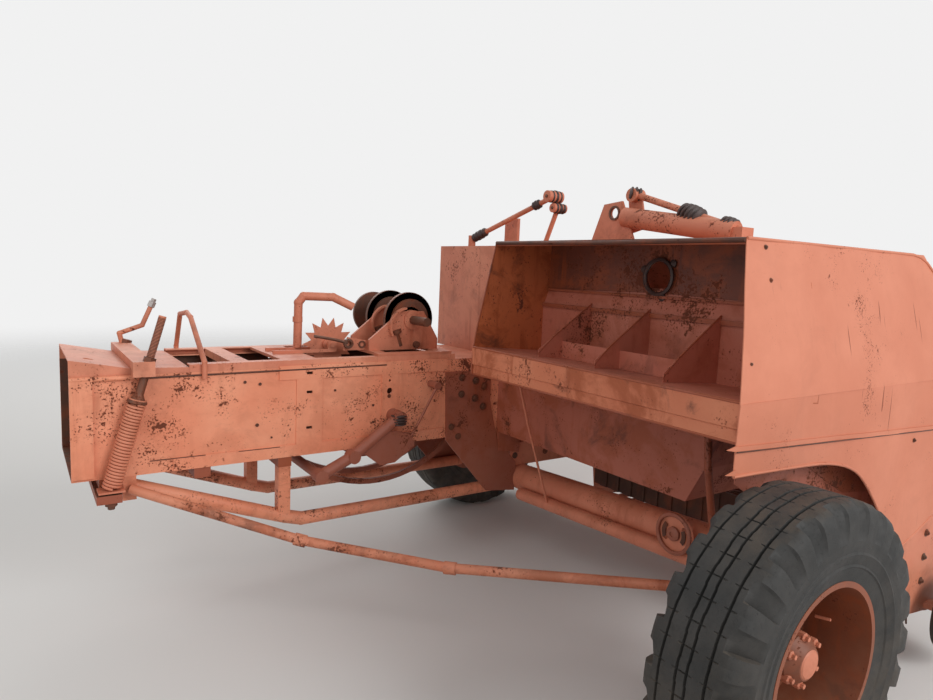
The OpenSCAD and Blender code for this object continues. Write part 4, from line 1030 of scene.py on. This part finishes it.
class BALER_OT_pickup(bpy.types.Operator):
    """Build the pickup's reel with its sprung tines, and the dark slatted sheet behind it, which paints the
    shade under the feeder
    """
    bl_idname = "baler.pickup"
    bl_label = "Pickup reel"

    def execute(self, context):
        centre = at(REEL[0], 0, REEL[1])
        tine = new_object("tine", tine_mesh((TINE_R - BAR_R) / 1000))
        spots, facings, bars = [], [], []
        gap = (PICK_LEFT - PICK_RIGHT - 2 * REEL_ENDS) / BANDS
        for k in range(4):
            a = math.radians(90 * k + 20)
            out = Vector((math.cos(a), 0, -math.sin(a)))
            middle = centre + out * BAR_R / 1000
            low, high = at(0, PICK_RIGHT + 16, 0).y, at(0, PICK_LEFT - 16, 0).y
            bars.append(rod(Vector((middle.x, low, middle.z)), Vector((middle.x, high, middle.z)), 27, 16))
            for i in range(BANDS + 1):
                y = at(0, PICK_RIGHT + REEL_ENDS + i * gap, 0).y
                spots.append(Vector((middle.x, y, middle.z)))
                facings.append(out)
                bars.append(bolt_head(Vector((middle.x, y, middle.z)) + out * 0.014, out, 6, 8))
        for y in (PICK_RIGHT + 14, PICK_LEFT - 20):
            bars.append(disc(at(REEL[0], y, REEL[1]), (0, 1, 0), 150, 0, 6, 48, inner=24))
        bars.append(rod(at(REEL[0], PICK_RIGHT, REEL[1]), at(REEL[0], PICK_LEFT, REEL[1]), 49.9, 24))
        mesh = grown("tines", spots, tine_tree(), {"Tine": tine, "Finish": finish("bare_steel")},
                     {"facing": ("FLOAT_VECTOR", facings)})
        bpy.data.objects.remove(tine)
        piece("sprung_tines", mesh, "reel", "bare_steel", ("pickup_reel",), smooth=50)
        piece("reel_bars", closed(bars), "reel", "bare_steel", ("pickup_reel",), smooth=40)
        # Slatted back sheet that shows under the feeder, in dark iron that paints the shade there
        low, high = 290, 484
        slats = [block((872, PICK_RIGHT + 12, low), (874, PICK_LEFT - 12, high))]
        for i in range(BANDS):
            y = PICK_RIGHT + REEL_ENDS + (i + 0.5) * gap
            slats.append(block((866, y - gap / 2 + 20, low), (870, y + gap / 2 - 20, high)))
        piece("back_slats", closed(slats), "pickup", "dark_iron")
        return {"FINISHED"}


# The drive's line: across and up; the flywheel's hub and the shaft's first point on it; how the shaft runs
DRIVE_Y, DRIVE_Z = 255, 830
HUB_X, SHAFT_X = 2102, 2330
SHAFT_RUN = (1.5, 0, -0.13)


class BALER_OT_drive_shaft(bpy.types.Operator):
    """Build the telescoping drive shaft with its guard and yokes"""
    bl_idname = "baler.drive_shaft"
    bl_label = "Drive shaft"

    def execute(self, context):
        start = at(SHAFT_X, DRIVE_Y, DRIVE_Z)
        line = Vector(SHAFT_RUN).normalized()

        def spot(mm):
            """Point on the shaft's line."""
            return start + line * mm / 1000

        # Two sleeves that slide in each other, each with a ribbed cone
        guard = [lathe(spot(90), line, [(34, 0), (58, 6), (60, 16), (55, 30), (59, 44), (52, 60), (57, 74),
                                        (49, 90), (46, 120), (46, 640), (40, 640), (40, 100),
                                        (30, 60)], 32),
                 lathe(spot(700), line, [(32, 0), (38, 0), (38, 560), (48, 600), (56, 616), (51, 632),
                                         (58, 646), (53, 660), (60, 676), (58, 690), (34, 694),
                                         (32, 600)], 32)]
        steel = [lathe(spot(-125), line, [(0, 0), (24, 0), (30, 6), (30, 70), (22, 76), (0, 76)], 24),
                 lathe(spot(-40), line, [(0, 0), (18, 0), (28, 10), (28, 150), (0, 150)], 24),
                 rod(spot(-46) + Vector((0, -0.03, 0)), spot(-46) + Vector((0, 0.03, 0)), 22),
                 disc(spot(400), line, 28, 0, 900, 24),
                 lathe(spot(1380), line, [(0, 0), (22, 0), (28, 8), (28, 60), (20, 66), (0, 66)], 24),
                 rod(spot(1448) + Vector((0, -0.031, 0)), spot(1448) + Vector((0, 0.031, 0)), 22),
                 lathe(spot(1456), line, [(17.6, 2), (24, 0), (32, 8), (32, 60), (36, 62),
                                          (36, 74), (31, 76), (31, 84), (17.6, 84)], 28)]
        for side in (-1, 1):
            out = Vector((0, side * 0.026, 0))
            steel += [rod(spot(low) + out, spot(high) + out, 14)
                      for low, high in ((-70, -30), (1420, 1470))]
        piece("shaft_guard", closed(guard), "drawbar", "worn_plastic", ("drive_shaft",),
              smooth=40)
        piece("shaft_yokes", closed(steel), "drawbar", "bare_steel", ("drive_shaft",),
              smooth=40)
        return {"FINISHED"}


# ---------------------------------------------------------------- sheet metal

# The side panel: its lower sheet's place across, how far its upper sheet leans in, the fold between them
# and the roof. The twine box: its back wall, its roof's rear edge, and its lip.
PANEL_Y, PANEL_LEAN, FOLD_Z, ROOF_Z = -1600, 100, 1115, 1556
WALL_X, RIM_X, LIP_X, LIP_Z = 200, -100, -200, 1118


def dented(outline, place, facing, dent, seed, pitch=36, thick=3):
    """Sheet of a flat outline, cut into a fine net and pushed in and out by smooth dents.

    place turns a point of the outline into the shared frame. dent is in metres, pitch and thick in mm."""
    def build(made):
        net = bmesh.new()
        net.faces.new([net.verts.new((x, z, 0)) for x, z in outline])
        xs, zs = [p[0] for p in outline], [p[1] for p in outline]
        for axis, values in ((0, xs), (1, zs)):
            normal = Vector((1, 0, 0)) if axis == 0 else Vector((0, 1, 0))
            step = min(values) + pitch
            while step < max(values) - 4:
                bmesh.ops.bisect_plane(net, geom=net.verts[:] + net.edges[:] + net.faces[:],
                                       plane_co=normal * step, plane_no=normal)
                step += pitch
        out = Vector(facing).normalized()
        shift = Vector((seed * 7.3, seed * 3.1, 0))
        front, back = {}, {}
        for vert in net.verts:
            spot = Vector((vert.co.x, vert.co.y, 0)) / 1000
            # Broad dents with smaller ones on them, and a few sharp creases
            push = noise.noise(spot * 2.6 + shift) + 0.5 * noise.noise(spot * 7.5 + shift)
            crease = 1.0 - min(1.0, abs(noise.noise(spot * 1.4 + shift * 1.7)) * 9.0)
            move = out * dent * (push - 0.6 * crease)
            centre = place(vert.co.x, vert.co.y) + move
            front[vert.index] = made.verts.new(centre)
            back[vert.index] = made.verts.new(centre - out * thick / 1000)
        net.verts.index_update()
        for face in net.faces:
            loop = [v.index for v in face.verts]
            made.faces.new([front[i] for i in loop])
            made.faces.new([back[i] for i in reversed(loop)])
        for edge in net.edges:
            if edge.is_boundary:
                a, b = (v.index for v in edge.verts)
                made.faces.new((front[a], front[b], back[b], back[a]))
        net.free()
    return build


class BALER_OT_side_panel(bpy.types.Operator):
    """Beat the side panel out of dented sheet, with its seam and flanges"""
    bl_idname = "baler.side_panel"
    bl_label = "Side panel"

    def execute(self, context):
        dent = context.scene.baler_details.dent
        rise = ROOF_Z - FOLD_Z
        slope = math.hypot(rise, PANEL_LEAN)

        def upper(x, along):
            """Point of the leaning sheet, measured up along it from the fold."""
            return at(x, PANEL_Y - 2 + PANEL_LEAN * along / slope, FOLD_Z + rise * along / slope)

        def lower(x, z):
            """Point of the upright sheet."""
            return at(x, PANEL_Y - 2, z)

        outward = (0, -rise, PANEL_LEAN)
        arch = [(LIP_X - 12, 919), (-80, 915), (109, 906), (211, 902), (321, 887), (405, 863), (456, 838),
                (500, 809), (595, 721), (667, 637), (740, 577), (813, 517), (848, 520), (1055, 588)]
        parts = [
            dented([(LIP_X - 12, 0), (1260, 0), (1190, 252), (980, slope), (RIM_X, slope)],
                   upper, outward, dent, 1),
            dented([(LIP_X - 12, FOLD_Z), *arch, (1260, 850), (1260, FOLD_Z)], lower, (0, -1, 0), dent, 2),
            # Seam between the two lower sheets and the hem along the arch
            dented([(LIP_X - 14, 989), (1258, 918), (1258, 932), (LIP_X - 14, 1003)],
                   lambda x, z: at(x, PANEL_Y - 5.5, z), (0, -1, 0), dent, 2, 60),
            pipe([at(x, PANEL_Y - 1, z + 1) for x, z in arch], 9, 8, 2),
            pipe([at(RIM_X + 2, PANEL_Y + PANEL_LEAN - 1, ROOF_Z - 2),
                  at(978, PANEL_Y + PANEL_LEAN - 1, ROOF_Z - 2), at(1188, PANEL_Y + 57, 1364),
                  at(1256, PANEL_Y + 2, FOLD_Z + 4)], 10, 8, 3),
            # Torn corners at the rear end of the lower sheet
            side_plate(PANEL_Y - 4, ((LIP_X - 10, 1006), (LIP_X - 56, 998), (LIP_X - 12, 989)), 3),
            side_plate(PANEL_Y - 4, ((LIP_X - 8, 940), (LIP_X - 52, 930), (LIP_X - 10, 923)), 3),
        ]
        piece("panel_sheets", closed(parts), "frame", "panel_paint", ("side_panel",),
              smooth=28)
        return {"FINISHED"}


# Small holes in the chamber's right side: place along, height, radius
CHAMBER_HOLES = ((-1036, 962, 6), (-977, 951, 6), (-988, 786, 7), (-481, 827, 5),
                 (-479, 751, 5), (-404, 862, 9), (-660, 905, 5), (-930, 730, 4))
# The slotted disc on the axle beam: its face, and its place across and up
BEAM_DISC_X, BEAM_DISC = 260, (-1065, 480)


class BALER_OT_trim(bpy.types.Operator):
    """Add the box's hems and slotted strip, the roof's edge, the dark seams with a painted shadow under the
    side panel's seam, and the inner sheets
    """
    bl_idname = "baler.trim"
    bl_label = "Sheet trim"

    def execute(self, context):
        parts = [
            pipe([at(LIP_X + 1, -1596, LIP_Z - 1), at(LIP_X + 1, -349, LIP_Z - 1)], 8, 8, 2),
            pipe([at(LIP_X + 8, -1594, 1005), at(LIP_X + 8, -349, 1005)], 9, 8, 2),
            pipe([at(RIM_X + 2, -1498, ROOF_Z - 16), at(RIM_X + 2, -349, ROOF_Z - 16)], 8, 8, 2),
            block((WALL_X - 40, -1560, 1288), (WALL_X - 31, -350, 1304)),
            block((WALL_X - 13, -1540, 1358), (WALL_X - 1, -350, 1368)),
            pipe([at(RIM_X, -345, ROOF_Z - 3), at(LIP_X, -345, LIP_Z), at(LIP_X, -345, 1006)], 7, 8, 2),
        ]
        for y in (-650, -955, -1255):
            hem = [at(x, y + 1.5, z) for x, z in ((168, 1318), (-100, 1141), (-100, 1120))]
            parts.append(pipe(hem, 6, 8, 1))
        piece("box_hems", closed(parts), "frame", "rusty_sheet", smooth=40)
        # Rusty edge of the roof, sagging a little
        edge = [at(RIM_X - 2, y, ROOF_Z - 7 - 4 * math.sin(3.1 * (y + 346) / 1154) ** 2)
                for y in range(-1500, -340, 96)]
        dark = [pipe(edge, 15, 8, 2),
                # Painted shadow under the side panel's lapped seam, and a line under the chamber's top rail
                pipe([at(LIP_X - 12, PANEL_Y - 5, 988), at(1258, PANEL_Y - 5, 917)], 4, 6, 0),
                pipe([at(-1590, -4, 997), at(-900, -4, 1001), at(-420, -4, 1003)], 7, 6, 0),
                # Open stretches of the seam along the chamber's lower flange, small holes in its side
                pipe([at(-1380, -4, 689), at(-1185, -4, 688)], 3.5, 6, 0),
                pipe([at(-1060, -4, 687), at(-895, -4, 686)], 3.5, 6, 0),
                *(disc(at(x, -3, z), (0, -1, 0), radius, 0, 2.5, 12) for x, z, radius in CHAMBER_HOLES),
                # Kidney slots in the disc on the axle beam
                curved_strip(at(BEAM_DISC_X - 1.5, *BEAM_DISC), (-1, 0, 0), 46, -30, 40, 3, 17, 8),
                curved_strip(at(BEAM_DISC_X - 1.5, *BEAM_DISC), (-1, 0, 0), 46, 150, 215, 3, 17, 8)]
        piece("roof_edge", closed(dark), "frame", "dark_iron", smooth=40)
        centre = at(BEAM_DISC_X, *BEAM_DISC)
        rim = [(66, -2), (80, -2), (80, 7), (76, 10), (69, 10), (66, 7)]
        hub = [(0, -2), (27, -2), (27, 8), (18, 14), (9, 14), (9, 10), (0, 10)]
        rim_and_hub = [lathe(centre, (-1, 0, 0), rim, 48), lathe(centre, (-1, 0, 0), hub, 28)]
        # The disc takes the darker paint: grime and painted shade
        piece("beam_disc", closed(rim_and_hub), "frame", "grimy_paint", smooth=40)
        # Inner sheet that closes the wheel arch, and the bracket between the gusset and the housing
        inner = [side_plate(-1506, ((-60, 935), (230, 904), (560, 734), (872, 704), (872, 570),
                                    (700, 560), (560, 600), (300, 700), (60, 780), (-60, 850)), 3),
                 side_plate(-14, ((196, 655), (345, 655), (345, 520), (215, 540)), 4)]
        piece("inner_sheets", closed(inner), "frame", "slope_paint")
        # Strip of rings under the box, on small hangers; it drops towards its far end
        strip = []
        for k in range(19):
            y = -390 - 26 * k
            z = 1018 - 0.18 * k * k
            strip.append(lathe(at(WALL_X - 1, y, z), (-1, 0, 0),
                               [(6.5, -1), (10, 0), (10, 5), (6.5, 5)], 10))
            strip.append(block((WALL_X - 4, y - 4, z + 9), (WALL_X - 1, y + 4, z + 30)))
        piece("slotted_strip", closed(strip), "frame", "rusty_sheet")
        return {"FINISHED"}


# ---------------------------------------------------------------- drive train, jack and tension gear


class BALER_OT_drive_train(bpy.types.Operator):
    """Build the flywheel's rim, spokes and bolts, and the gearbox casting"""
    bl_idname = "baler.drive_train"
    bl_label = "Drive train"

    def execute(self, context):
        hub = at(HUB_X, DRIVE_Y, DRIVE_Z)
        spin = []
        # Tapered spokes, each with a nut at its root
        for k in range(5):
            a = math.radians(72 * k + 12)
            out = Vector((0, math.cos(a), math.sin(a)))
            across = Vector((0, -math.sin(a), math.cos(a)))
            root, tip = hub + out * 0.055, hub + out * 0.245
            spin.append(plate([root - across * 0.026, tip - across * 0.017, tip + across * 0.017,
                               root + across * 0.026], Vector(), Vector((0.016, 0, 0))))
            spin.append(nut(hub + out * 0.088 + Vector((0.04, 0, 0)), (1, 0, 0), 12, 16, 7, 28))
        spin.append(lathe(hub, (1, 0, 0), [(262, 1), (289.5, 1), (289.5, 18), (285, 22), (289.5, 26),
                                           (289.5, 61), (262, 61), (258, 50), (258, 12)], 96))
        piece("flywheel_rim", closed(spin), "flywheel", "bare_steel", smooth=35)
        box = [lathe(at(1770, DRIVE_Y, DRIVE_Z), (1, 0, 0),
                     [(0, -6), (118, -6), (118, 12), (98, 22), (84, 60), (80, 250),
                      (92, 262), (92, 292), (74, 300), (0, 300)], 40)]
        # Bolts round the casting's flange
        for k in range(8):
            a = math.radians(45 * k + 10)
            spot = at(1780, DRIVE_Y + 106 * math.cos(a), DRIVE_Z + 106 * math.sin(a))
            box.append(bolt_head(spot, (1, 0, 0), 10, 8))
        # Filler cap
        box.append(lathe(at(1560, DRIVE_Y, 960), (0, 0, 1),
                         [(0, 0), (22, 0), (22, 22), (15, 30), (0, 31)], 8))
        piece("gearbox_casting", closed(box), "frame", "bare_steel", smooth=35)
        return {"FINISHED"}


class BALER_OT_tension_gear(bpy.types.Operator):
    """Add the tension screws' nuts and collars, the crank's nut and the springs' seats"""
    bl_idname = "baler.tension_gear"
    bl_label = "Tension gear"

    def execute(self, context):
        steel, paint = [], []
        for turn in (lambda p: p, mirrored):
            top, tip = at(*turn(SPRING_TOP)), at(*turn(SCREW_TIP))
            line = (tip - top).normalized()
            for share in (0.325, 0.485):
                steel.append(disc(top.lerp(tip, share), line, 22, -11, 11, 6))
            steel.append(lathe(top, line, [(0, -2), (34, -2), (34, 6), (24, 12), (15, 30),
                                           (14.6, 32), (14.6, 96), (0, 96)], 24))
            foot = turn(SPRING_FOOT)
            paint.append(block((foot[0] - 42, foot[1] - 34, 606), (foot[0] + 42, foot[1] + 34, 612.5)))
            steel.append(nut(at(foot[0], foot[1], 570), (0, 0, -1), 20, 18, 12, 30))
        # Nut on the end of the left screw's crank
        crank_nut = nut(at(-1285, 548, 1217), (0.4, 0, 0.92), 16, 24, 11, 38)
        piece("crank_nut", closed([crank_nut]), "frame", "bright_zinc")
        piece("tension_nuts", closed(steel), "frame", "bare_steel", smooth=35)
        piece("spring_seats", closed(paint), "frame", "paint")
        return {"FINISHED"}


# The jack's place along and across
JACK = (3050, 347)


class BALER_OT_jack(bpy.types.Operator):
    """Add the jack's cap and pin, its bands and gussets, and its foot's ring and bolts"""
    bl_idname = "baler.jack"
    bl_label = "Jack"

    def execute(self, context):
        x, y = JACK
        # The pin is two stubs, clear of the leg that slides between them
        steel = [lathe(at(x, y, 830), (0, 0, 1),
                       [(0, 0), (40, 0), (40, 10), (24, 16), (12, 18), (12, 34), (0, 35)], 24),
                 rod(at(x - 52, y, 700), at(x - 36, y, 700), 14),
                 rod(at(x + 36, y, 700), at(x + 60, y, 700), 14)]
        piece("jack_crank", closed(steel), "drawbar", "bare_steel", smooth=40)
        bands = [disc(at(x, y, z), (0, 0, 1), 42, -9, 9, 28, inner=38) for z in (310, 420, 480, 820)]
        for sign in (-1, 1):
            bands.append(plate([at(x + sign * 40, y - 38, 500), at(x + sign * 40, y - 38, 400),
                                at(x + sign * 34, y - 6, 420), at(x + sign * 34, y - 6, 490)], Vector(),
                               Vector((sign * 0.006, 0, 0))))
        piece("jack_bands", closed(bands), "drawbar", "faded_paint", smooth=40)
        foot = [lathe(at(x, y, 9), (0, 0, 1), [(0, 0), (37, 0), (35, 3), (29.5, 8), (0, 8)], 28)]
        foot += [bolt_head(at(x + dx, y + dy, 9), (0, 0, 1), 9, 5) for dx in (-74, 74) for dy in (-60, 60)]
        piece("jack_foot", closed(foot), "jack", "bare_steel", smooth=40)
        return {"FINISHED"}


# ---------------------------------------------------------------- stage


# Lamps: name, place, what they aim at, width and power
LAMPS = (("key", (1.0, -8.0, 5.0), (-0.6, 0, 0.8), 4.0, 430),
         ("fill", (-6.5, -3.0, 4.5), (-1.0, 0, 0.8), 5.0, 90),
         ("back", (0.0, 6.5, 5.0), (0, 0, 0.8), 5.0, 160))
# Half the floor's side, and where it starts and ends fading into the backdrop, in metres
FLOOR_HALF, FADE_START, FADE_END = 16, 4.0, 14.0
# Strength of the white world on the object, and what the camera and glossy rays see on top of it
WORLD_LIGHT, WORLD_EXTRA = 0.46, 0.42


def pale_floor():
    """Pale ground that fades into the backdrop away from the baler."""
    material, n, shader, where = new_material("pale_floor")
    away = n.add("ShaderNodeVectorMath", {0: where}, operation="LENGTH").outputs["Value"]
    n.link(n.minus(1.0, n.step(away, FADE_START, FADE_END)), shader["Alpha"])
    shader["Base Color"].default_value = (0.74, 0.73, 0.71, 1)
    shader["Roughness"].default_value = 0.95
    return material


class BALER_OT_stage(bpy.types.Operator):
    """Set up the camera, the lamps and the floor"""
    bl_idname = "baler.stage"
    bl_label = "Stage"

    def execute(self, context):
        view = context.scene.baler_stage
        yaw, pitch, roll = view.yaw, view.pitch, view.roll
        ahead = Vector((math.sin(yaw) * math.cos(pitch), math.cos(yaw) * math.cos(pitch), -math.sin(pitch)))
        level = Vector((math.cos(yaw), -math.sin(yaw), 0))
        upright = level.cross(ahead)
        right = level * math.cos(roll) + upright * math.sin(roll)
        up = -level * math.sin(roll) + upright * math.cos(roll)
        camera = bpy.data.cameras.new("photo_camera")
        camera.lens, camera.sensor_width = view.lens, 36.0
        eye = new_object("photo_camera", camera)
        place = at(*(1000 * c for c in view.place))
        eye.matrix_world = Matrix.Translation(place) @ Matrix((right, up, -ahead)).transposed().to_4x4()
        context.scene.camera = eye
        for name, spot, aim, size, power in LAMPS:
            lamp = bpy.data.lights.new(name, "AREA")
            lamp.size, lamp.energy = size, power
            thing = new_object(name, lamp)
            thing.location = spot
            thing.rotation_euler = (Vector(aim) - Vector(spot)).to_track_quat("-Z", "Y").to_euler()
        # Floor a hair below the wheels, so the two never share a face
        corners = [Vector((x * FLOOR_HALF, y * FLOOR_HALF, -0.001))
                   for x, y in ((-1, -1), (1, -1), (1, 1), (-1, 1))]
        mesh = closed([lambda made: made.faces.new(ring(made, corners))])
        mesh.materials.append(pale_floor())
        floor = new_object("floor", mesh)
        world = bpy.data.worlds.new("studio")
        world.use_nodes = True
        n = Nodes(world.node_tree)
        path = n.add("ShaderNodeLightPath").outputs
        seen = n.math("MAXIMUM", path["Is Camera Ray"], n.math("MAXIMUM", path["Is Glossy Ray"],
                                                               path["Is Transmission Ray"]))
        sky = world.node_tree.nodes["Background"]
        n.link(n.plus(WORLD_LIGHT, n.times(seen, WORLD_EXTRA)), sky.inputs["Strength"])
        sky.inputs["Color"].default_value = (1, 1, 1, 1)
        context.scene.world = world
        context.scene.view_settings.view_transform = "Standard"
        return {"FINISHED"}


# ---------------------------------------------------------------- add-on

OPERATORS = (BALER_OT_stage, BALER_OT_finishes, BALER_OT_wheels, BALER_OT_springs, BALER_OT_bolts,
             BALER_OT_linkages, BALER_OT_knotters, BALER_OT_pickup, BALER_OT_drive_shaft,
             BALER_OT_side_panel, BALER_OT_trim, BALER_OT_drive_train, BALER_OT_tension_gear, BALER_OT_jack)
SETTINGS = {"baler_paint": BalerPaint, "baler_wheels": BalerWheels, "baler_details": BalerDetails,
            "baler_stage": BalerStage}


class BALER_PT_pieces(bpy.types.Panel):
    """Lists the baler's pieces"""
    bl_idname = "BALER_PT_pieces"
    bl_label = "Square baler"
    bl_space_type = "VIEW_3D"
    bl_region_type = "UI"
    bl_category = "Baler"

    def draw(self, context):
        for settings in SETTINGS:
            column = self.layout.column(align=True)
            for name in getattr(context.scene, settings).__annotations__:
                column.prop(getattr(context.scene, settings), name)
        for operator in OPERATORS:
            self.layout.operator(operator.bl_idname)


CLASSES = (*SETTINGS.values(), *OPERATORS, BALER_PT_pieces)


def register():
    """Classes, and the scene's settings."""
    for kind in CLASSES:
        bpy.utils.register_class(kind)
    for name, kind in SETTINGS.items():
        setattr(bpy.types.Scene, name, PointerProperty(type=kind))


def unregister():
    """The same, undone."""
    for name in SETTINGS:
        delattr(bpy.types.Scene, name)
    for kind in reversed(CLASSES):
        bpy.utils.unregister_class(kind)


def main():
    """Builds every piece."""
    register()
    for operator in OPERATORS:
        space, name = operator.bl_idname.split(".")
        getattr(getattr(bpy.ops, space), name)()


if __name__ == "__main__":
    main()
